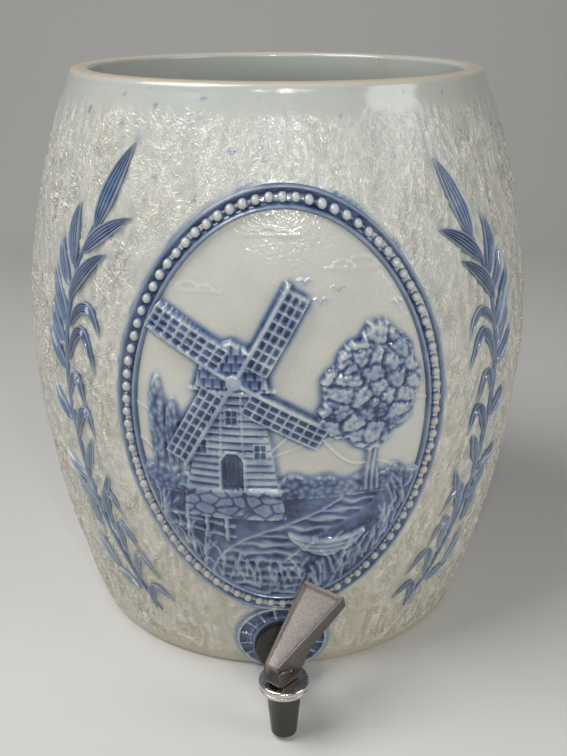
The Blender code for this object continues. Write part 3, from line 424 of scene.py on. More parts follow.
# Outer radius: a power curve that falls from the belly to the rim and to the foot
def barrelRadius(z):
    z = np.asarray(z, float)
    up = z > barrel["bellyHeight"]
    reach = np.where(up, barrel["height"] - barrel["bellyHeight"], barrel["bellyHeight"])
    end = np.where(up, barrel["rimRadius"], barrel["footRadius"])
    away = (abs(z - barrel["bellyHeight"]) / reach) ** barrel["curve"]
    return barrel["bellyRadius"] - (barrel["bellyRadius"] - end) * away


# Point at a distance round the belly and a height, lifted off the barrel; all in millimetres
def onBarrel(across, z, lift):
    angle = across / barrel["bellyRadius"]
    r = barrelRadius(z) + lift
    return np.stack(np.broadcast_arrays(r * np.sin(angle), -r * np.cos(angle), z), -1)


# Bark: ridges where warped noise passes through zero, in two sizes, stronger on the sides than in front
def barkRelief(across, z):
    turn = across / around
    coarse = round(around / 24)
    shiftA = slopeNoise(turn * coarse, z / 26, 11, coarse) * bark["warp"]
    shiftZ = slopeNoise(turn * coarse, z / 30, 12, coarse) * bark["warp"] * 1.8
    relief = np.zeros(np.broadcast(across, z).shape)
    for seed, share, size, width in ((13, 1.0, 1.0, 2.3), (14, 0.55, 0.5, 2.0)):
        cells = round(around / (bark["across"] * size))
        n = slopeNoise((turn + shiftA / around) * cells, (z + shiftZ) / (bark["up"] * size), seed, cells)
        relief = relief + share * np.clip(1 - abs(n) * width, 0, 1) ** 1.4
    lumps = round(around / 16)
    patch = 0.75 + 0.55 * slopeNoise(turn * lumps, z / 34, 15, lumps)
    side = 0.62 + 0.45 * blend(60, 120, abs(across))
    top = bark["smoothTop"]
    quiet = (1 - 0.45 * blend(290, top, z)) * (1 - blend(top - 2, top + 9, z))
    quiet = quiet * blend(0, bark["smoothFoot"], z - barrel["footRound"])
    force = np.clip(patch, 0.2, 1.2) * side * quiet
    return (relief - 0.35) * bark["depth"] * force, force


oval = dict(z=176.5, half=89.5, halfUp=120.0, beads=88, beadRadius=2.95, beadRise=3.1, steps=420)


# Offset from the bead line of the oval: 0 on it, positive outside, roughly in millimetres
def ovalOffset(across, z):
    x, y = across, z - oval["z"]
    level = np.sqrt((x / oval["half"]) ** 2 + (y / oval["halfUp"]) ** 2)
    slope = np.hypot(x / oval["half"] ** 2, y / oval["halfUp"] ** 2) / np.maximum(level, 1e-6)
    return (level - 1) / np.maximum(slope, 1e-4)


# Leaf sprays: base, middle and tip of each leaf as (distance from the front, height), and its breadth

sprays = dict(
    relief=2.7, edge=0.55, stations=17, out=(5.5, 9.0), drop=(3.0, 11.0),
    stem=((86, 34), (101, 55), (118, 92), (129, 135), (134, 182), (132, 222), (124, 256), (111, 281)),
    leaves=(
        (112, 277, 102, 300, 86, 322, 12.5), (127, 253, 131, 272, 126, 290, 9.5), (121, 260, 105, 279, 84, 286, 9.5),
        (131, 234, 118, 256, 100, 264, 9.0), (131, 216, 140, 230, 150, 251, 9.5), (131, 217, 112, 247, 104, 217, 6.5),
        (134, 191, 143, 200, 152, 213, 7.5), (133, 196, 118, 239, 107, 196, 6.5), (134, 172, 122, 208, 117, 168, 6.0),
        (134, 158, 141, 164, 148, 175, 7.5), (131, 142, 118, 189, 111, 150, 6.5), (127, 121, 139, 124, 151, 133, 8.0),
        (125, 128, 120, 139, 118, 152, 7.0), (121, 104, 133, 108, 141, 121, 7.5), (113, 88, 119, 139, 98, 101, 6.5),
        (124, 86, 131, 99, 133, 116, 7.5), (105, 73, 112, 116, 91, 78, 6.5), (117, 57, 127, 67, 132, 82, 7.0),
        (96, 56, 99, 92, 80, 62, 6.0), (101, 48, 112, 52, 122, 58, 7.0), (88, 36, 94, 66, 73, 47, 5.5),
        (133, 205, 146, 214, 147, 232, 7.0), (129, 240, 139, 251, 141, 268, 7.5), (119, 98, 109, 118, 106, 128, 6.0),
    ),
)


# Quadratic curve through three control points, for many curves at once
def curvePoints(a, b, c, t):
    t = t[None, :, None]
    return (1 - t) ** 2 * a[:, None] + 2 * t * (1 - t) * b[:, None] + t * t * c[:, None]


# How far a spray's point is moved: outwards, and down the more the higher it stands
def spraySlip(side, z):
    return sprays["out"][side > 0], sprays["drop"][side > 0] * blend(150, 300, z)


# Leaves as closed tubes: a lance outline with five ribs, a raised edge, and pale tips. Crosswise the height
# is a cosine of the distance from the midrib, lengthwise a rising and falling sine.
def makeSprays():
    data = np.array(sprays["leaves"], float)
    rng = np.random.default_rng(5)
    across, heights, lifts, blues, ribPaintedLight, tracks = [], [], [], [], [], []
    t = np.linspace(0.0, 1.0, sprays["stations"])
    over = np.concatenate([np.linspace(-1, 1, 25), [0.5, -0.5]])
    under = np.array([0] * 25 + [1, 1])
    for side in (-1, 1):
        points = data[:, :6].reshape(-1, 3, 2) + rng.normal(0, 1.2, (len(data), 3, 2))
        out, drop = spraySlip(side, points[..., 1])
        points[..., 0] += out
        points[..., 1] -= drop
        centre = curvePoints(points[:, 0], points[:, 1], points[:, 2], t)
        run = np.gradient(centre, axis=1)
        run /= np.linalg.norm(run, axis=-1, keepdims=True) + 1e-9
        half = data[:, 6][:, None] / 2 * np.maximum(np.sin(math.pi * t ** 0.8) ** 0.8, 0.05)[None]
        x = centre[..., 0][..., None] + run[..., 1][..., None] * half[..., None] * over
        z = centre[..., 1][..., None] - run[..., 0][..., None] * half[..., None] * over
        rib = 0.5 + 0.5 * np.cos(math.tau * over * 2.5)
        rim = np.where(under == 1, 0, blend(0.78, 0.92, abs(over)) * (1 - blend(0.94, 1.0, abs(over))))
        rib = np.maximum(rib * 0.75, rim)
        swell = (0.45 + 0.55 * np.sin(math.pi * t) ** 0.6)[None, :, None]
        crown = (0.62 + 0.38 * rib) * (1 - 0.22 * over ** 2)
        lift = sprays["relief"] * swell * crown
        lift = np.where(abs(over) == 1, -sprays["edge"], lift)
        lift = np.where(under == 1, -2.2, lift) + rng.uniform(-0.3, 0.4, len(data))[:, None, None]
        fade = 0.72 + 0.28 * blend(60, 190, centre[..., 1])[..., None]
        tips = (blend(0.86, 1.0, t) + 0.5 * blend(0.1, 0.0, t))[None, :, None]
        depth = rng.uniform(0.68, 0.98, len(data))[:, None, None] * fade
        blue = depth * (1.05 - 0.82 * rib) * (1 - 0.75 * tips)
        across.append(side * x)
        heights.append(z)
        lifts.append(lift + 0 * x)
        blues.append(blue + 0 * x)
        # Painted highlight on the ribs and raised edge, painted shade between the ribs
        ribPaintedLight.append((rib - 0.6) * 0.7 + 0 * x)
        tracks.append(np.stack([side * centre[..., 0], centre[..., 1]], -1).reshape(-1, 2))
    grid = onBarrel(np.concatenate(across), np.concatenate(heights), np.concatenate(lifts))
    fields = dict(cobalt=np.concatenate(blues), paintedLightAndTint=np.concatenate(ribPaintedLight))
    makeTubes("leafSprays", grid, stoneware, "pot", fields=fields, smooth=60)
    return np.concatenate(tracks)


# Stems: a low half round ridge along each spray, with its ends let into the wall
def makeStems():
    line = np.array(sprays["stem"], float)
    t = np.linspace(0, len(line) - 1, 60)
    x, z = (np.interp(t, range(len(line)), line[:, k]) for k in (0, 1))
    for k in range(3):
        x[1:-1] = (x[:-2] + x[1:-1] + x[2:]) / 3
        z[1:-1] = (z[:-2] + z[1:-1] + z[2:]) / 3
    run = np.stack([np.gradient(x), np.gradient(z)], -1)
    run /= np.linalg.norm(run, axis=-1, keepdims=True)
    turn = np.linspace(0, math.tau, 10, endpoint=False)
    half = (1.5 * np.sin(np.linspace(0.15, math.pi - 0.15, 60)) ** 0.4)[:, None]
    grids = []
    for side in (-1, 1):
        out, drop = spraySlip(side, z)
        a = side * (x[:, None] + out + run[:, 1:] * half * np.cos(turn))
        h = (z - drop)[:, None] - run[:, :1] * half * np.cos(turn)
        grids.append(onBarrel(a, h, 0.3 + half * np.sin(turn)))
    makeTubes("sprayStems", np.stack(grids), stoneware, "pot",
              fields=dict(cobalt=0.55), smooth=60)


leafTracks = makeSprays()
makeStems()
print("leaf sprays made")


# The pot's wall, floor and rim as one closed surface


# The wall's section as (radius, height, kind), from under the foot, up outside, over the rim and down inside.
# Kinds: 0 small rounds, 1 outer face, 2 bare foot, 3 worn top of the rim, 4 inside.
def wallStations():
    b = barrel

    def arc(r, z, radius, degrees):
        a = np.radians(degrees)
        return r + radius * np.cos(a), z + radius * np.sin(a)

    lipZ, mouthZ, lowZ = b["height"] - b["lipRound"], b["height"] - b["mouthRound"], b["floor"] + b["floorRound"]
    lowR = barrelRadius(lowZ) - b["wall"] - b["floorRound"]
    outer = np.linspace(b["footRound"], lipZ, b["rows"])
    inner = np.linspace(mouthZ, lowZ, b["innerRows"])[1:]
    foot = b["footRound"]
    footArc = arc(barrelRadius(foot) - foot, foot, foot, (-90, -67, -45, -22))
    lipArc = arc(barrelRadius(lipZ) - b["lipRound"], lipZ, b["lipRound"], (18, 36, 54, 72, 90))
    mouthR = barrelRadius(mouthZ) - b["wall"] + b["mouthRound"]
    parts = (
        (b["under"], [0.0] * 4, [2] * 4),
        (*footArc, [2, 2, 0, 0]),
        (barrelRadius(outer), outer, [1] * len(outer)),
        (*lipArc, [0, 0, 3, 3, 3]),
        (*arc(mouthR, mouthZ, b["mouthRound"], (90, 112, 135, 157, 180)), [3, 3, 0, 0, 0]),
        (barrelRadius(inner) - b["wall"], inner, [4] * len(inner)),
        (*arc(lowR, lowZ, b["floorRound"], (-22, -45, -67, -90)), [4] * 4),
        (lowR * np.array([0.75, 0.4, 0.02]), [b["floor"]] * 3, [4] * 3),
    )
    return [np.concatenate([part[k] for part in parts]) for k in range(3)]


# Columns stand closer together in front, where the ornament is, than at the back
def wallColumns():
    spread = np.linspace(-math.pi, math.pi, 4001)
    total = np.cumsum(1 + 1.3 * (1 - blend(1.15, 1.6, abs(spread))))
    share = (total - total[0]) / (total[-1] - total[0])
    return np.interp(np.arange(barrel["columns"]), share * barrel["columns"], spread)


# Distance to the nearest of the points along the leaves' middles
def nearestTrack(across, z, tracks):
    best = np.full(across.shape, 1e9)
    for part in np.array_split(tracks, 60):
        d = np.hypot(across[..., None] - part[:, 0], z[..., None] - part[:, 1])
        best = np.minimum(best, d.min(-1))
    return best


# The section turned about the axis, its radius raised by the bark, sunk under the picture and the tap's boss
def makeWall():
    r, z, kind = wallStations()
    angle = wallColumns()
    across = angle * barrel["bellyRadius"]
    a, h = np.meshgrid(across, z)
    relief, force = barkRelief(a, h)
    outer = (kind == 1)[:, None]
    offset = ovalOffset(a, h)
    nearBoss = np.hypot(r[:, None] * np.sin(angle), h - tap["height"])
    front = (abs(a) < 200) & outer
    sink = -3.2 * np.where(front, 1 - blend(-3.2, -1.2, offset), 0)
    calm = np.where(front, blend(5.5, 11, offset) * blend(26, 31, nearBoss + 60 * (h > 80)), 1)
    track = np.full(a.shape, 99.0)
    track[front] = nearestTrack(a[front], h[front], leafTracks)
    calm = calm * (0.45 + 0.55 * blend(2, 9, track))
    wobble = barrel["wobble"] * slopeNoise((a / around) * 9, h / 90, 21, 9)
    lift = np.where(outer, relief * calm + sink, 0) + wobble
    bossSink = np.where(outer & (nearBoss < 25.5) & (h < 60), -3.0, 0)
    radius = r[:, None] + lift + bossSink
    grid = np.stack([radius * np.sin(angle), -radius * np.cos(angle), h], -1)
    drift = slopeNoise((a / around) * 60, h / 12, 22, 60)
    # Blue round the leaves: cobalt bled from the brush, and painted shade where the wall meets them
    bleedAndPaintedShade = 0.24 * np.exp(-(track / 4.5) ** 2) * np.clip(0.65 + 0.9 * drift, 0, 1)
    edge = 0.45 * np.exp(-((offset - 6.8) / 1.4) ** 2) * np.clip(0.6 + drift, 0, 1) * front
    boss = 0.4 * np.exp(-((nearBoss - 28) / 1.8) ** 2) * (h < 70) * front
    brush = slopeNoise((a / around) * 150, h / 5, 23, 150)
    stray = 0.6 * blend(0.62, 0.8, brush) * blend(90, 40, abs(h - 325)) * outer
    cobalt = np.where(outer, np.clip(bleedAndPaintedShade * (track < 16) + edge + boss, 0, 1), 0) + stray * 0.5
    inside = np.where(kind == 4, 0.12, 0)[:, None]
    # Painted highlight on the bark's crests and painted shade in its hollows
    paintedLightAndTint = np.clip(relief / (bark["depth"] * 0.75), -1, 1) * outer
    bare = np.choose(kind, [0, 0, 1.0, 0.62, 0])
    rinse = 0.08 * blend(292, 338, h) * np.clip(0.7 + drift, 0, 1) * outer
    fields = dict(cobalt=(cobalt + inside + rinse)[None], paintedLightAndTint=paintedLightAndTint[None], bark=(force * calm * outer)[None],
                  bare=np.broadcast_to(bare[:, None], a.shape)[None])
    wall = makeTubes("potWall", grid[None], stoneware, "pot",
                     fields=fields, replaces=("stoneware_pot",), smooth=70)
    cut = [(0.5, 96), (16.0, 96), (16.0, 127.5), (12.5, 127.5), (12.5, 150), (0.5, 150)]
    cutter = makeTurned("seatCutter", cut, stoneware, None, size=0.01, axis="out", solid=True)
    carve(wall, ((cutter, "DIFFERENCE"),), smooth=70)


tap = dict(height=25.5, valveY=-187.0)
makeWall()
print("pot wall made")


# The oval frame: an outer ridge, a channel for the beads and an inner ridge, swept round the oval

frameProfile = dict(
    places=(-6.6, -6.1, -5.5, -4.9, -4.3, -3.7, -3.2, -2.2, 0, 2.2, 3.4, 3.9, 4.5, 5.1, 5.7, 6.3, 6.6, 3.0, -3.0),
    lifts=(-0.8, 0.9, 1.9, 2.3, 1.9, 0.9, 0.25, 0.0, -0.1, 0.0, 0.2, 0.9, 1.6, 1.9, 1.5, 0.4, -0.8, -3.6, -3.6),
    blues=(0.7, 0.55, 0.38, 0.3, 0.4, 0.68, 0.85, 0.88, 0.85, 0.88, 0.85, 0.6, 0.4, 0.32, 0.42, 0.7, 0.8, 0.5, 0.5),
)


# Angles at equal steps of length round the oval
def evenAngles(count):
    fine = np.linspace(0, math.tau, 8001)
    step = np.hypot(np.diff(oval["half"] * np.cos(fine)), np.diff(oval["halfUp"] * np.sin(fine)))
    return np.interp(np.arange(count) / count * step.sum(), np.concatenate([[0], np.cumsum(step)]), fine)


# Place on a line that runs beside the oval, `out` outside its bead line
def besideOval(angle, out):
    nx, ny = np.cos(angle) / oval["half"], np.sin(angle) / oval["halfUp"]
    size = np.hypot(nx, ny)
    x = oval["half"] * np.cos(angle) + out * nx / size
    return x, oval["z"] + oval["halfUp"] * np.sin(angle) + out * ny / size


# The frame's section carried round the oval, its height a little uneven
def makeFrame():
    angle = evenAngles(oval["steps"])[None, :]
    out = np.array(frameProfile["places"])[:, None]
    x, z = besideOval(angle, out)
    wave = 0.18 * slopeNoise(angle / math.tau * 40 + 0 * out, out * 0.4 + 3, 31, 40)
    grid = onBarrel(x, z, np.array(frameProfile["lifts"])[:, None] + wave)
    patchy = slopeNoise(angle / math.tau * 30 + 0 * out, out * 0.3 + 1, 32, 30)
    thin = 1 - 0.45 * blend(-20, -60, x) * blend(150, 90, z)
    blue = np.clip(np.array(frameProfile["blues"])[:, None] * (1 + 0.25 * patchy) * thin, 0, 1)
    # A slight painted shade over the whole frame: no section point has blue under 0.3, so none gets the painted
    # highlight
    paintedLightAndTint = np.where(np.array(frameProfile["blues"]) < 0.3, 0.5, -0.2)[:, None] + 0 * x
    makeTubes("ovalFrame", grid[None], stoneware, "pot", joined=True,
              fields=dict(cobalt=blue[None], paintedLightAndTint=paintedLightAndTint[None]), smooth=60)


# Beads: domes with their feet in the channel, each a little different
def makeBeads():
    rng = np.random.default_rng(8)
    angle = evenAngles(oval["beads"])
    x, z = besideOval(angle, rng.normal(0, 0.12, oval["beads"]))
    polar = np.radians([8, 30, 52, 74, 96, 118])[None, :, None]
    turn = np.linspace(0, math.tau, 12, endpoint=False)[None, None, :]
    size = oval["beadRadius"] * rng.uniform(0.93, 1.05, oval["beads"])[:, None, None]
    a = x[:, None, None] + size * np.sin(polar) * np.cos(turn)
    h = z[:, None, None] + size * np.sin(polar) * np.sin(turn)
    lift = 0.15 + oval["beadRise"] * rng.uniform(0.9, 1.05, oval["beads"])[:, None, None] * np.cos(polar) + 0 * turn
    # Bluer towards each bead's foot: cobalt pooled round it, and painted shade
    blue = 0.3 - 0.2 * np.cos(polar) + 0.5 * blend(55, 100, np.degrees(polar))
    wearAndSheen = (x > 60) & (z < 190) & (z > 130) & (rng.random(len(x)) < 0.6)
    bare = np.where(wearAndSheen[:, None, None] & (polar < 0.7), 0.62, 0.0) + 0 * turn
    # A painted highlight on each dome's top, slight painted shade at its foot
    makeTubes("frameBeads", onBarrel(a, h, lift), stoneware, "pot",
              fields=dict(cobalt=blue + 0 * a, paintedLightAndTint=0.35 * np.cos(polar) + 0 * a, bare=bare), smooth=70)


makeFrame()
makeBeads()
print("oval frame made")


# The picture in the oval: a mill by a river, drawn on a raster and laid on the wall

picture = dict(step=0.5, rings=160, around=520, edge=1.1, bark=0.12)
mill = dict(
    tower=[(-54, -42), (-1, -42), (-11, 22), (-43, 22)], base=[(-57, -58), (3, -58), (0, -38), (-55, -38)],
    cap=[(-48, 20), (-6, 20), (-10, 35), (-19, 45), (-27, 48), (-36, 45), (-44, 35)],
    door=[(-33, -38), (-21, -38), (-21, -20), (-24, -15.5), (-30, -15.5), (-33, -20)],
    windows=((-44, -12), (-12, -14), (-27, 6)), pane=(2.9, 4.2), sash=(3.4, 4.7),
    hub=(-25, 26), sailStart=11, sailLength=56, sailBreadth=13, turn=61, plank=4.4,
)
tree = dict(crown=((34, 6, 15), (48, -2, 14), (60, 8, 14), (66, 22, 12), (56, 34, 16), (42, 32, 15), (50, 16, 20),
                   (33, 22, 13), (52, 46, 10)),
            trunk=[(43, -42), (56, -42), (53, -24), (52, -4), (46, -4), (47, -24)])


# Signed distance to a box about a middle, negative inside
def boxDistance(x, y, middle, half):
    return np.maximum(abs(x - middle[0]) - half[0], abs(y - middle[1]) - half[1])


# Leaves of hedge and poplars come from cells: 0.6 less the distance to the nearest spot
def clumps(x, y, seed):
    return 0.6 - cellNoise(x, y, seed)[0]


# Far hills, long clouds and birds, thin raised lines as of a stylus
def drawSky(x, y, lay, line):
    ridge = np.linspace(-92, 92, 60)
    line(list(zip(ridge, -20 + 13 * np.sin(ridge / 19 + 1.1) + 5 * np.sin(ridge / 7.3))), 0.8, 0.9, 0.1)
    line(list(zip(ridge, -4 + 12 * np.sin(ridge / 27 - 1.4) + 3 * np.sin(ridge / 9))), 0.7, 0.7, 0.06)
    for cx, cy, size in ((44, 84, 1.0), (-52, 72, 0.8), (-8, 101, 0.7)):
        t = np.linspace(0, math.pi, 30)
        for dx, r in ((-11, 6), (0, 9), (12, 6)):
            line(list(zip(cx + size * (dx + r * np.cos(t)), cy + size * r * 0.6 * np.sin(t))), 0.6, 0.42, 0.08)
        line([(cx - 22 * size, cy), (cx + 24 * size, cy)], 0.6, 0.3, 0.08)
    for bx, by in ((20, 66), (30, 72), (12, 76), (-58, 92), (64, 62)):
        wings = [(bx + a, by + b) for a, b in ((-4, 2), (-1.5, 2.6), (0, 0), (1.5, 2.6), (4, 2))]
        line(wings, 0.55, 0.6, 0.5)


# Ground with mown strokes, and the river that winds through it
def drawGround(x, y, lay, line):
    horizon = -34 + 2.2 * np.sin(x / 15) + 1.2 * np.sin(x / 6)
    strokes = slopeNoise(x / 1.6, y / 6 + x / 22, 43)
    lay(y - horizon, 0.9 + 0.5 * strokes + 0.3 * slopeNoise(x / 9, y / 4, 44), 0.72 + 0.2 * strokes, edge=2.0)
    bank = 18 + 34 * np.tanh((y + 62) / 16)
    breadth = 8 + 0.32 * (-34 - y)
    river = np.abs(x - bank) - breadth
    ripple = np.sin(y / 0.95 + 2.2 * slopeNoise(x / 9, y / 5, 45) + x / 26)
    lay(np.maximum(river, y + 40), 0.15 + 0.38 * ripple, 0.6 - 0.28 * ripple, edge=1.4)
    t = np.linspace(-112, -40, 30)
    line(list(zip(18 + 34 * np.tanh((t + 62) / 16) - (8 + 0.32 * (-34 - t)), t)), 1.0, 1.2, 0.35)


# Two poplars and a hedge behind the mill
def drawHedge(x, y, lay, line):
    for px, top, wide in ((-70, 26, 5.2), (-61, 14, 4.6)):
        d = np.hypot((x - px) / wide, (y - (top - 34) / 2) / ((top + 36) / 2)) - 1
        leaf = clumps(x / 2.6, y / 4.2, 46)
        lay(d * wide, 1.9 + 1.1 * leaf, 0.82 - 0.5 * leaf, edge=0.9)
    leaf = clumps(x / 3.4, y / 3.0, 47)
    hedge = y + 31 - 3.2 * np.sin(x / 4.5) * np.cos(x / 11)
    within = np.maximum(np.maximum(hedge, -(y + 45)), np.minimum(abs(x + 3) - 100, x + 1))
    lay(within, 1.5 + 1.0 * leaf, 0.8 - 0.4 * leaf)


# Tower: boarded, with a door, windows, a stone footing and a shingled cap
def drawTower(x, y, lay, line):
    board = np.mod(y, mill["plank"]) / mill["plank"]
    lap = 0.75 * (1 - board) - 1.0 * np.exp(-(np.minimum(board, 1 - board) / 0.13) ** 2)
    bend = -0.02 * (x + 27) ** 2 * 0.05
    lay(polygonDistance(x, y, mill["tower"]), 3.0 + lap + bend, 0.5 - 0.38 * lap)
    for corner in ((-54, -42, -43, 22), (-1, -42, -11, 22), (-34.5, -42, -32, 22), (-20.5, -42, -22, 22)):
        line([corner[:2], corner[2:]], 0.75, 0.75, 0.22)
    face = 0.9 * blend(0.04, 0.2, cellNoise(x / 9.5, y / 6.0, 48)[1])
    stone = 3.1 + face + 0.25 * slopeNoise(x / 1.5, y / 1.5, 49)
    lay(polygonDistance(x, y, mill["base"]), stone, 0.95 - 0.42 * face)
    line([(-57.5, -38.2), (2.5, -38.2)], 1.0, 0.9, 0.15)
    lay(polygonDistance(x, y, mill["door"]), 1.6 + 0.3 * np.sin(x * 2.2), 0.95, edge=0.6)
    line([(-33.6, -38), (-33.6, -20), (-30, -14.8), (-24, -14.8), (-20.4, -20), (-20.4, -38)], 0.8, 1.1, 0.2)
    half, up = mill["sash"]
    for wx, wy in mill["windows"]:
        lay(boxDistance(x, y, (wx, wy), mill["pane"]), 2.0, 0.97, edge=0.6)
        sash = [(wx + a * half, wy + b * up) for a, b in ((-1, -1), (1, -1), (1, 1), (-1, 1), (-1, -1))]
        for points in (sash, [(wx, wy - 4.5), (wx, wy + 4.5)], [(wx - 3, wy), (wx + 3, wy)]):
            line(points, 0.5, 0.9, 0.2)
    shingle = np.mod(x + 2.4 * np.floor(np.mod(y / 4.6, 2)), 4.8) / 4.8
    course = np.mod(y, 4.6) / 4.6
    tile = 0.7 * (1 - course) - 0.9 * np.exp(-(np.minimum(shingle, 1 - shingle) / 0.12) ** 2)
    lay(polygonDistance(x, y, mill["cap"]), 3.9 + tile, 0.78 - 0.4 * tile)
    line([(-49.5, 20), (-4.5, 20)], 1.2, 1.3, 0.15)


# Sails: lattice frames on their stocks, and the hub
def drawSails(x, y, lay, line):
    hx, hy = mill["hub"]
    start, length, breadth = mill["sailStart"], mill["sailLength"], mill["sailBreadth"]
    for k in range(4):
        a = math.radians(mill["turn"] + 90 * k)
        u = (x - hx) * math.cos(a) + (y - hy) * math.sin(a)
        v = -(x - hx) * math.sin(a) + (y - hy) * math.cos(a)
        inSail = np.maximum(np.maximum(u - length, start - u), np.maximum(v - 1.5, -breadth - v))
        bars = np.minimum(abs(np.mod(u - start + 2.8, 5.6) - 2.8), abs(np.mod(v + 0.2 + 2.1, 4.3) - 2.1))
        net = np.exp(-(bars / 0.75) ** 2)
        lay(inSail, 3.3 + 1.6 * net + 0 * u, 0.9 - 0.78 * net, edge=0.8)
        stock = np.maximum(np.maximum(u - length - 3, -u), abs(v) - 1.5)
        lay(stock, 5.4, 0.22, edge=0.7)
        frameLine = abs(np.maximum(np.maximum(u - length, start - u), np.maximum(v - 0.5, -breadth - v)))
        lay(frameLine - 0.75, 5.0, 0.18, edge=0.6)
    lay(np.hypot(x - hx, y - hy) - 4.6, 6.0 - 0.05 * ((x - hx) ** 2 + (y - hy) ** 2), 0.3, edge=0.8)


# Tree: heaped leaf clumps on a ribbed trunk
def drawTree(x, y, lay, line):
    trunkRib = np.sin(x * 1.9 + 1.2 * np.sin(y / 7))
    lay(polygonDistance(x, y, tree["trunk"]), 2.6 + 0.5 * trunkRib, 0.6 - 0.3 * trunkRib)
    clump = np.min([np.hypot(x - cx, y - cy) - r for cx, cy, r in tree["crown"]], 0)
    near = cellNoise(x / 3.3 + 0.4 * slopeNoise(x / 6, y / 6, 50), y / 2.9, 51)[0]
    big, bigGap = cellNoise(x / 11, y / 9, 52)
    leafy = 1.5 * (0.62 - near) + 1.1 * blend(0.0, 0.35, bigGap)
    lay(clump + 2.4 * slopeNoise(x / 3, y / 3, 53), 2.4 + leafy + 0.8 * (1 - big), 0.86 - 0.42 * leafy)


# Rail fence on the left bank, a rowing boat, and reeds along the foot
def drawBank(x, y, lay, line):
    for post in range(5):
        px, py = -78 + 11.5 * post, -62 - 1.9 * post
        lay(boxDistance(x, y, (px, py + 4.5), (1.5, 8.5)), 3.4 + 0.3 * np.sin(x * 3), 0.25, edge=0.7)
    for drop in (0, 7.0):
        line([(-84, -54 - drop), (-28, -63.5 - drop)], 1.1, 1.7, 0.2)
    bx, by = 26, -78
    sheer = by + 5.2 + 0.011 * (x - bx) ** 2
    keel = by - 6 + 0.026 * (x - bx) ** 2
    hull = np.maximum(np.maximum(y - sheer, keel - y), abs(x - bx) - 23)
    lay(hull, 2.9 + 0.5 * np.sin((y - 0.011 * (x - bx) ** 2) * 2.1), 0.42, edge=0.9)
    t = np.linspace(-22, 22, 20)
    line(list(zip(bx + t, by + 5.2 + 0.011 * t ** 2)), 0.9, 1.4, 0.12)
    line([(bx - 6, by + 7), (bx - 24, by - 9)], 0.8, 1.5, 0.15)
    line([(bx + 5, by + 6), (bx + 9, by + 9.5)], 0.9, 1.0, 0.2)
    rng = np.random.default_rng(54)
    for k in range(120):
        gx = rng.uniform(-82, 82)
        room = math.sqrt(max(0, 1 - (gx / (oval["half"] - 6)) ** 2))
        gy = -(oval["halfUp"] - 6) * room + rng.uniform(0, 14)
        if gy > -50:
            continue
        lean, tall = rng.uniform(-0.45, 0.45), rng.uniform(9, 20)
        reed = [(gx, gy), (gx + lean * tall * 0.5, gy + tall * 0.6), (gx + lean * tall * 1.3, gy + tall)]
        line(reed, 0.75, 1.15, 0.3)


# The whole raster: `lay` puts a shape over what is there, `line` raises a soft stroke along points
def drawPicture():
    half, up, step = oval["half"] + 3, oval["halfUp"] + 3, picture["step"]
    x, y = np.meshgrid(np.arange(-half, half + step, step), np.arange(-up, up + step, step))
    height = -0.6 + 0.12 * slopeNoise(x / 30, y / 22, 41)
    paint = 0.05 + 0.05 * slopeNoise(x / 18, y / 12, 42)

    def lay(distance, level, blue, edge=picture["edge"], keep=0.0):
        nonlocal height, paint
        m = 1 - blend(-edge, 0, distance)
        height = height * (1 - m) + (level + keep * height) * m
        paint = paint * (1 - m) + blue * m

    def line(points, width, rise, blue=None):
        nonlocal height, paint
        m = np.exp(-(pathDistance(x, y, points) / width) ** 2)
        height = height + rise * m
        if blue is not None:
            paint = paint * (1 - m * 0.9) + blue * m * 0.9

    for draw in (drawSky, drawGround, drawHedge, drawTower, drawSails, drawTree, drawBank):
        draw(x, y, lay, line)
    crisp = height - soften(height, 4)
    broad = height - soften(height, 14)
    filled = soften((paint > 0.14).astype(float), 3)  # brushed shapes stay at least pale blue on their crests
    paint = np.clip(np.maximum(paint - 0.34 * crisp - 0.04 * broad, 0.3 * filled), 0, 0.97)
    patch = slopeNoise(x / 14, y / 12, 55)
    paint = np.clip(paint * (1 + 0.34 * patch), 0, 1) * (1 - 0.15 * (paint < 0.12))
    return x[0], y[:, 0], height, paint, np.clip(crisp * 0.9, -1, 1)


# Value of a raster at scattered places, linear between its samples
def readRaster(xs, ys, field, x, y):
    u = np.clip((x - xs[0]) / (xs[1] - xs[0]), 0, len(xs) - 1.001)
    v = np.clip((y - ys[0]) / (ys[1] - ys[0]), 0, len(ys) - 1.001)
    i, j = u.astype(int), v.astype(int)
    fu, fv = u - i, v - j
    low = field[j, i] * (1 - fu) + field[j, i + 1] * fu
    high = field[j + 1, i] * (1 - fu) + field[j + 1, i + 1] * fu
    return low * (1 - fv) + high * fv


# The raster on rings that grow from the middle to the frame; under rings let into the wall close it
def makePicture():
    xs, ys, height, paint, crisp = drawPicture()
    share = np.concatenate([np.linspace(0.004, 1.0, picture["rings"]), [0.995, 0.6, 0.25, 0.004]])[:, None]
    angle = evenAngles(picture["around"])[None, :]
    rimX, rimZ = besideOval(angle, -4.6)
    x, y = share * rimX, share * (rimZ - oval["z"])
    lift = readRaster(xs, ys, height, x, y)
    close = blend(0.985, 1.0, share)
    lift = lift * (1 - close) + np.minimum(lift, 0.6) * close
    lift[picture["rings"]:] = -6.5
    # The 0.5 pales the picture's ground as its own colour; the crisp part is a painted highlight on crests and
    # painted shade in grooves
    paintedLightAndTint = np.clip(0.5 + 0.8 * readRaster(xs, ys, crisp, x, y), -1, 1)
    fields = dict(cobalt=readRaster(xs, ys, paint, x, y)[None], paintedLightAndTint=paintedLightAndTint[None],
                  bark=np.full(x.shape, picture["bark"])[None])
    makeTubes("pictureRelief", onBarrel(x, y + oval["z"], lift)[None], stoneware, "pot",
              fields=fields, smooth=75)


makePicture()
print("picture made")


# The boss round the tap hole: a flat seat, then sixteen panels between ribs, and a rim

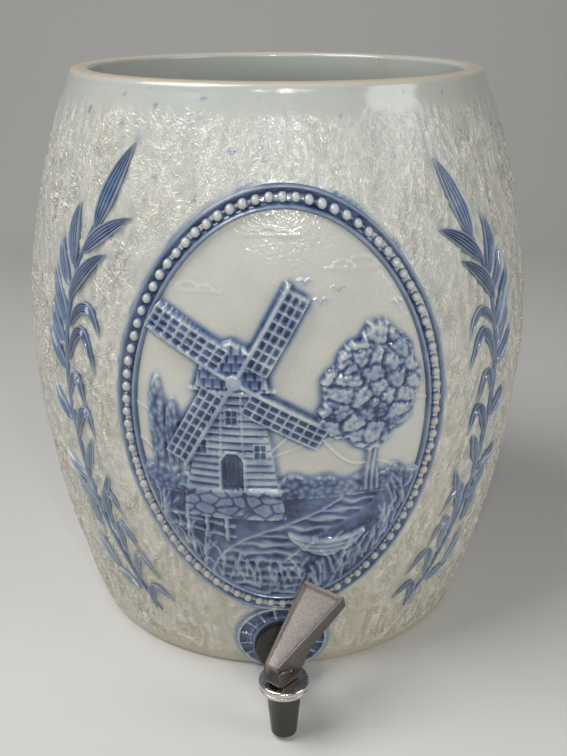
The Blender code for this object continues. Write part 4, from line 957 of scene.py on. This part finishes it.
boss = dict(hole=9.2, seatY=138.5, innerY=127.5, backY=131.0, panels=16, around=320)


# Rings about the tap's axis, lifted off the wall by a bell curve on each rib and on the rim; the last rings
# close it behind
def makeBoss():
    radii = np.array([boss["hole"], boss["hole"], 9.6, 17.2, 17.6, 17.9, 18.6, 19.4, 20.6, 22, 23.4, 24.4, 25.2,
                      25.8, 26.4, 26.9, 27.4, 27.0, 19.0, 18.0])
    angle = np.linspace(0, math.tau, boss["around"], endpoint=False)
    r, a = np.meshgrid(radii, angle, indexing="ij")
    x, z = r * np.cos(a), tap["height"] + r * np.sin(a)
    level = np.maximum(z, 0.4)
    wall = np.sqrt(np.maximum(barrelRadius(np.maximum(level, 5)) ** 2 - x ** 2, 0))
    wall = wall - np.where(level < 5, 5 - np.sqrt(np.maximum(25 - (5 - level) ** 2, 0)), 0)
    phase = np.abs(np.mod(a / math.tau * boss["panels"], 1) - 0.5) * math.tau / boss["panels"] * r
    rib = np.exp(-(phase / 0.62) ** 2)
    ring = blend(25.0, 25.7, r) * (1 - blend(26.9, 27.5, r))
    lip = np.exp(-((r - 18.6) / 0.8) ** 2)
    scratch = 0.25 * slopeNoise(a * 60, r / 2.0, 61)
    rise = 0.7 + 1.2 * np.maximum(rib * blend(17.9, 18.8, r), ring) + 0.8 * lip + scratch * (1 - ring)
    out = wall + rise
    for row, value in ((0, boss["innerY"] - 0.2), (1, boss["seatY"] - 0.3), (2, boss["seatY"]), (3, boss["seatY"]),
                       (4, boss["seatY"] - 0.3), (19, boss["innerY"] - 0.2)):
        out[row] = value
    out[16] = wall[16] - 0.9
    out[17] = wall[17] - 3.6
    out[18] = np.minimum(boss["backY"], wall[18] - 3.6)
    grid = np.stack([x, -out, level], -1)
    high = np.maximum(rib, ring)
    blue = np.clip(0.88 - 0.72 * high - 0.4 * lip + 0.25 * slopeNoise(a * 9, r / 3, 62), 0.05, 1)
    seat = (r < 17.8) | (r > 27.2)
    blue = np.where(seat, 0.55, blue)
    # Painted highlight on the ribs and rim, painted shade on the seat round the gasket
    makeTubes("tapBoss", grid[None], stoneware, "pot", joined=True,
              fields=dict(cobalt=blue[None], paintedLightAndTint=(high * 0.6 - 0.8 * seat)[None]), smooth=50)


makeBoss()
print("boss made")


# The tap

tapBody = dict(
    shank=7.8, shankEnd=111.9, flange=15.6, flangeY=141.1, flangeFront=144.1, neck=5.8, bore=4.0,
    outletZ=2.8, outletR=7.2, topR=9.8, topZ=30.0, collarR=11.8, collarZ=30.5, collarTop=34.8,
    outletBore=4.5, chamber=8.2, seatZ=19.5,
)


# Shank, flange and neck turned about the tap's axis, joined to the valve's barrel, with both bores cut through
def makeTapBody():
    t = tapBody
    reach = -tap["valveY"]
    flare = [(t["neck"] + 2.4 * (1 - s) ** 2, t["flangeFront"] + 0.2 + 5.5 * s) for s in np.linspace(0, 1, 7)]
    join = [(t["neck"] + 2.2 * s ** 2, reach - 13.0 + 4.6 * s) for s in np.linspace(0, 1, 6)]
    shank = [(t["shank"], t["shankEnd"]), (t["shank"], t["flangeY"]), (t["flange"] - 0.3, t["flangeY"]),
             (t["flange"], t["flangeY"] + 0.4), (t["flange"], t["flangeFront"] - 0.7),
             (t["flange"] - 0.25, t["flangeFront"] - 0.25), (t["flange"] - 0.8, t["flangeFront"])]
    thread = []
    for k in range(17):
        y = t["shankEnd"] + 0.6 + k * 1.5
        thread += [(t["shank"] - deep, y + along) for deep, along in ((0, 0), (0.55, 0.45), (0.55, 0.75), (0, 1.2))]
    outline = [(0.5, t["shankEnd"]), (t["shank"] - 0.6, t["shankEnd"])] + thread + shank[1:] + flare + join
    outline += [(t["neck"] + 2.2, reach), (0.5, reach)]
    body = makeTurned("tapBody", outline, polypropylene, "pot", axis="out",
                      replaces=("tap_body",), solid=True)
    barrelSide = [(0.5, t["outletZ"]), (t["outletR"] - 0.5, t["outletZ"]), (t["outletR"], t["outletZ"] + 0.5),
                  (t["topR"], t["topZ"]), (t["topR"] + 0.3, t["collarZ"]), (t["collarR"] - 0.2, t["collarZ"] + 1.0),
                  (t["collarR"], t["collarZ"] + 1.3), (t["collarR"], t["collarTop"]), (0.5, t["collarTop"])]
    valve = makeTurned("valveTool", barrelSide, polypropylene, None, solid=True)
    bore = [(0.5, t["outletZ"] - 2), (t["outletBore"], t["outletZ"] - 2), (t["outletBore"], t["seatZ"]),
            (t["chamber"] - 1.2, t["seatZ"]), (t["chamber"], t["seatZ"] + 1.2), (t["chamber"], t["collarTop"] + 2),
            (0.5, t["collarTop"] + 2)]
    boreTool = makeTurned("boreTool", bore, polypropylene, None, solid=True)
    way = [(0.5, t["shankEnd"] - 2), (t["bore"], t["shankEnd"] - 2), (t["bore"], reach), (0.5, reach)]
    wayTool = makeTurned("wayTool", way, polypropylene, None, axis="out", solid=True, around=64)
    carve(body, ((valve, "UNION"), (boreTool, "DIFFERENCE"), (wayTool, "DIFFERENCE")), smooth=30)


# Rings on the shank: bore and outer radius, how far back and front they reach, and the round of their edges
rings = dict(
    outerGasket=(8.1, 16.6, 138.8, 140.8, 0.6, rubber, "black_rubber", "outer_gasket"),
    innerGasket=(8.1, 15.2, 124.7, 127.2, 0.7, rubber, "black_rubber", "inner_gasket"),
    slipWasher=(8.1, 14.6, 123.2, 124.4, 0.3, nylon, "white_nylon", "slip_washer"),
)


# The rings, and the lock nut: a hexagon with its corners turned off, and a round collar
def makeFittings():
    for name, (bore, edge, back, front, size, material, slot, node) in rings.items():
        makeTurned(name, [(bore, back), (edge, back), (edge, front), (bore, front)], material, "pot",
                   size=size, axis="out", replaces=(node,))
    nut = dict(front=122.9, back=115.9, bore=8.1, flats=12.5, corner=14.0, collar=13.8, collarFrom=121.1)
    turn = np.linspace(0, math.tau, 144, endpoint=False) + math.radians(30)
    hexagon = nut["flats"] / np.cos(np.mod(turn, math.tau / 6) - math.tau / 12)
    rows = [(0, nut["back"], 0), (1, nut["back"], -1.0), (1, nut["back"] + 0.6, 0), (1, nut["collarFrom"] - 0.3, 0),
            (2, nut["collarFrom"], 0), (2, nut["front"] - 0.3, 0), (2, nut["front"], -0.3), (0, nut["front"], 0)]
    grid = []
    for kind, y, trim in rows:
        r = (nut["bore"] + 0 * turn, np.minimum(hexagon, nut["corner"]) + trim,
             np.maximum(nut["collar"], np.minimum(hexagon, nut["corner"])) + trim)[kind]
        grid.append(np.stack([r * np.cos(turn), -y + 0 * turn, tap["height"] + r * np.sin(turn)], -1))
    makeTubes("lockNut", np.array(grid)[None], polypropylene, "pot", joined=True,
              replaces=("lock_nut",), smooth=20)


bonnetShape = dict(radius=14.3, foot=13.0, bottom=31.6, top=38.0, roof=36.4, cavity=12.1, hole=3.1, groove=35.0)


# The cap over the valve: a turned shell with a fine groove round its side
def makeBonnet():
    b = bonnetShape
    shoulder = 1.3
    arc = [(b["radius"] - shoulder + shoulder * math.cos(a), b["top"] - shoulder + shoulder * math.sin(a))
           for a in np.radians(range(0, 91, 15))]
    outline = [(b["cavity"], b["bottom"]), (b["foot"] - 0.3, b["bottom"]), (b["foot"], b["bottom"] + 0.2),
               (b["foot"] + 0.9, b["bottom"] + 1.3), (b["radius"] - 0.1, b["groove"] - 0.9),
               (b["radius"] - 0.05, b["groove"] - 0.35),
               (b["radius"] - 0.3, b["groove"] - 0.2), (b["radius"] - 0.6, b["groove"]),
               (b["radius"] - 0.3, b["groove"] + 0.2),
               (b["radius"], b["groove"] + 0.35)]
    outline += arc + [(11.0, b["top"]), (b["hole"] + 0.25, b["top"]), (b["hole"], b["top"] - 0.25),
                      (b["hole"], b["roof"]), (b["cavity"], b["roof"])]
    makeTurned("bonnet", outline, chromePlate, "pot", size=0.12, around=128,
               replaces=("bonnet",))


# What the cap hides: the cup that closes the seat, the stem, and the spring, a wire carried along a helix
def makeValve():
    cupOutline = [(0.4, 19.8), (5.3, 19.8), (6.5, 23.3), (6.5, 35.1), (11.2, 35.1), (11.2, 36.1), (5.3, 36.1),
                  (5.3, 23.3), (0.4, 23.3)]
    stemOutline = [(0.3, 23.6), (4.4, 23.6), (4.6, 23.8), (4.6, 24.9), (4.4, 25.1), (2.7, 25.1), (2.7, 45.8),
                   (2.5, 46.7), (2.0, 47.4), (1.2, 47.9), (0.3, 48.1)]
    cup = makeTurned("seatCup", cupOutline, silicone, "pot", size=0.25, around=64,
                     replaces=("seat_cup",))
    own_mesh(cup)
    makeTurned("valveStem", stemOutline, polypropylene, "stem", around=64,
               replaces=("valve_stem",), solid=True)
    spring = dict(low=25.9, high=35.6, radius=4.4, wire=0.45, turns=6)
    t = np.linspace(0, 1, spring["turns"] * 24)
    a = t * spring["turns"] * math.tau
    centre = np.stack([spring["radius"] * np.cos(a), tap["valveY"] + spring["radius"] * np.sin(a),
                       spring["low"] + (spring["high"] - spring["low"]) * t], -1)
    out = np.stack([np.cos(a), np.sin(a), 0 * a], -1)
    lift = np.array([0, 0, 1.0])
    turn = np.linspace(0, math.tau, 8, endpoint=False)[None, :, None]
    grid = centre[:, None] + spring["wire"] * (np.cos(turn) * out[:, None] + np.sin(turn) * lift)
    coil = makeTubes("returnSpring", grid[None], steel, "spring",
                     replaces=("return_spring",))
    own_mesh(coil)


lever = dict(
    swivel=41.6, rise=31.1, pin=45.0, foot=6.7, cam=5.5, camEnd=36, half=5.75, near=4.5, far=14.5, length=52.0,
    border=1.6, floorNear=0.45, floorFar=3.0, draft=1.1, tip=6.8, root=9.3, slot=3.0, bevel=0.42,
    # Painted sheen at each point of the tray's section: strong on its floor, faint on its rims, least underneath
    wearAndSheen=(0.3, 0.35, 0.95, 0.95, 0.35, 0.3, 0.1, 0.1),
)


# From the lever's own frame, along the pin, towards the tray's end and up, to the pot's
def fromLever(points):
    p = np.asarray(points, float)
    c, s = math.cos(math.radians(lever["swivel"])), math.sin(math.radians(lever["swivel"]))
    return np.stack([p[..., 0] * c + p[..., 1] * s, tap["valveY"] - p[..., 0] * s + p[..., 1] * c,
                     lever["pin"] + p[..., 2]], -1)


# Involute cam: its reach below the pin grows evenly as the lever turns
def camPoint(angle):
    reach = lever["foot"] + lever["cam"] * angle
    return (-reach * math.sin(angle) - lever["cam"] * math.cos(angle),
            -reach * math.cos(angle) + lever["cam"] * math.sin(angle))


# A point along the tray and below its rim, in the lever's side plane
def trayPoint(along, below):
    rise = math.radians(lever["rise"])
    front = camPoint(math.radians(lever["camEnd"]))[0]
    return (front + along * math.cos(rise) + below * math.sin(rise),
            7.0 + along * math.sin(rise) - below * math.cos(rise))


def addBevel(item, width):
    step = item.modifiers.new("soft edges", "BEVEL")
    step.width = width * mm
    step.segments = 3
    step.limit_method = "ANGLE"
    step.angle_limit = math.radians(28)


# An outline in the lever's side plane, as wide as half on each side of it
def leverPrism(name, outline, half):
    side = np.array([[(x, y, z) for y, z in outline] for x in (-half, half)])
    return makeTubes(name, fromLever(side)[None], polypropylene, None, smooth=30)


# The wedge is a section carried along the tray: a rim, a hollow with draft, and the sides down to the belly
def makeLever():
    v = lever
    end, stop = v["length"], v["length"] - v["border"]
    front = camPoint(math.radians(v["camEnd"]))[0]
    stations = [(0.0, (front, -2.6), 1), (7.0, (-2.0, -2.6), 1), (15.0, (7.0, -2.6), 1), (19.0, (8.6, 0.4), 1),
                (23.0, trayPoint(21.5, v["root"]), 1), (stop - v["draft"], trayPoint(stop - 2.4, v["tip"] + 0.1), 1),
                (stop, trayPoint(stop - 1.6, v["tip"]), 0), (end, trayPoint(end - 1.5, v["tip"]), 0)]
    loops = []
    for along, (by, bz), hollow in stations:
        half = v["near"] + (v["far"] - v["near"]) * along / v["length"]
        depth = v["floorNear"] + (v["floorFar"] - v["floorNear"]) * along / stop
        ty, tz = trayPoint(along, 0)
        fy, fz = trayPoint(along, depth if hollow else 0)
        inner = half - v["border"]
        rise = math.radians(v["rise"])
        reach = (by - front) * math.cos(rise) + (bz - 7.0) * math.sin(rise)
        bottom = v["near"] + (v["far"] - v["near"]) * max(reach, 0) / v["length"]
        foot = inner - (v["draft"] * depth / v["floorFar"] if hollow else 0.02)
        loops.append([(-half, ty, tz), (-inner, ty, tz), (-foot, fy, fz), (foot, fy, fz), (inner, ty, tz),
                      (half, ty, tz), (bottom, by, bz), (-bottom, by, bz)])
    # The tray's points carry the painted sheen as a point attribute
    piece = makeTubes("leverTray", fromLever(loops)[None], polypropylene, "lever",
                      fields=dict(wearAndSheen=np.array(v["wearAndSheen"])), replaces=("lever",), smooth=30)
    addBevel(piece, v["bevel"])
    cam = [camPoint(math.radians(a)) for a in np.linspace(0, v["camEnd"], 10)]
    outline = [(8.0, -v["foot"] + 2.8), (5.0, -v["foot"])] + cam + [(front, 3.4), (-7.5, 3.6), (7.4, -1.5)]
    footTool = leverPrism("footTool", outline, v["half"])
    addBevel(footTool, v["bevel"])
    arc = [(3.5 * math.cos(a), 3.5 * math.sin(a)) for a in np.linspace(0, math.radians(135), 9)]
    slot = [(3.5, -21)] + arc + [(arc[-1][0] - 15, arc[-1][1] - 15), (arc[-1][0] - 15, -21)]
    slotTool = leverPrism("slotTool", slot, v["slot"])
    turn = np.linspace(0, math.tau, 32, endpoint=False)
    hole = np.array([np.stack([x + 0 * turn, 1.5 * np.cos(turn), 1.5 * np.sin(turn)], -1) for x in (-9, 9)])
    holeTool = makeTubes("holeTool", fromLever(hole)[None], polypropylene, None)
    carve(piece, ((footTool, "UNION"), (slotTool, "DIFFERENCE"), (holeTool, "DIFFERENCE")), smooth=32)
    half = v["half"] - 0.3
    rows = [(-half, 0.9), (-half + 0.25, 1.2), (half - 0.25, 1.2), (half, 0.9)]
    pin = np.array([np.stack([x + 0 * turn, r * np.cos(turn), r * np.sin(turn)], -1) for x, r in rows])
    makeTubes("hingePin", fromLever(pin)[None], steel, "stem",
              replaces=("hinge_pin",), smooth=30)


makeTapBody()
makeFittings()
makeBonnet()
makeValve()
makeLever()
print("tap made")


# Studio: pale floor, soft light

studio = dict(
    floor="#D9D8D5", world=0.6, seen=0.85,
    boxes=(("keySoftbox", (-0.75, -0.35, 1.35), (0, 0, 0.15), (0.9, 0.9), 16.0),
           ("sideSoftbox", (1.3, -0.7, 0.7), (0, 0, 0.15), (0.7, 0.9), 6.0)),
    lamps=((-0.3, -1.75, 1.0), (0.02, -1.75, 0.92), (0.1, -1.75, 1.12), (0.4, -1.75, 0.98)), lampPower=3.0,
)


# An area light that faces its target
def addLight(name, place, target, size, power):
    data = bpy.data.lights.new(name, "AREA")
    data.shape = "RECTANGLE"
    data.size, data.size_y = size
    data.energy = power
    item = bpy.data.objects.new(name, data)
    bpy.context.scene.collection.objects.link(item)
    item.location = place
    gaze = np.array(target) - np.array(place)
    flat = math.hypot(gaze[0], gaze[1])
    item.rotation_euler = (math.atan2(flat, -gaze[2]), 0, math.atan2(-gaze[0], gaze[1]))


# Floor and backdrop in one sweep, a quarter of a sine at the bend; two softboxes, and small lamps that
# leave glints on the glaze
def makeStudio():
    t = np.linspace(0, 1, 40)
    y = np.concatenate([[-3.0, -1.0], 0.9 + 0.8 * np.sin(t * math.pi / 2), [1.7]])
    z = np.concatenate([[0, 0], 0.8 - 0.8 * np.cos(t * math.pi / 2), [3.2]])
    x = np.array([-4.0, 4.0])
    points = [(a, b, c) for b, c in zip(y, z) for a in x]
    faces = [(2 * i, 2 * i + 1, 2 * i + 3, 2 * i + 2) for i in range(len(y) - 1)]
    mesh = bpy.data.meshes.new("studioFloor")
    mesh.from_pydata(points, [], faces)
    mesh.shade_smooth()
    floor = bpy.data.objects.new("studioFloor", mesh)
    bpy.context.scene.collection.objects.link(floor)
    material, add, shader, place = startMaterial("paperBackdrop")
    setInputs(shader, {"Base Color": linear(studio["floor"]), "Roughness": 0.85})
    mesh.materials.append(material)
    world = bpy.data.worlds.new("studio")
    world.use_nodes = True
    bpy.context.scene.world = world
    add = functools.partial(addNode, world.node_tree)
    path = add("LightPath")
    seen = add("Math", [(path, "Is Camera Ray"), (path, "Is Glossy Ray")], operation="MAXIMUM")
    level = add("MapRange", [(seen, "Value"), 0.0, 1.0, studio["world"], studio["seen"]])
    setInputs(world.node_tree.nodes["Background"], {"Strength": (level, "Result")})
    for name, place, target, size, power in studio["boxes"]:
        addLight(name, place, target, size, power)
    for k, place in enumerate(studio["lamps"]):
        addLight(f"frontLamp{k}", place, (0, 0, 0.2), (0.07, 0.05), studio["lampPower"])
    bpy.context.scene.view_settings.view_transform = "Standard"


makeStudio()
print("studio ready")
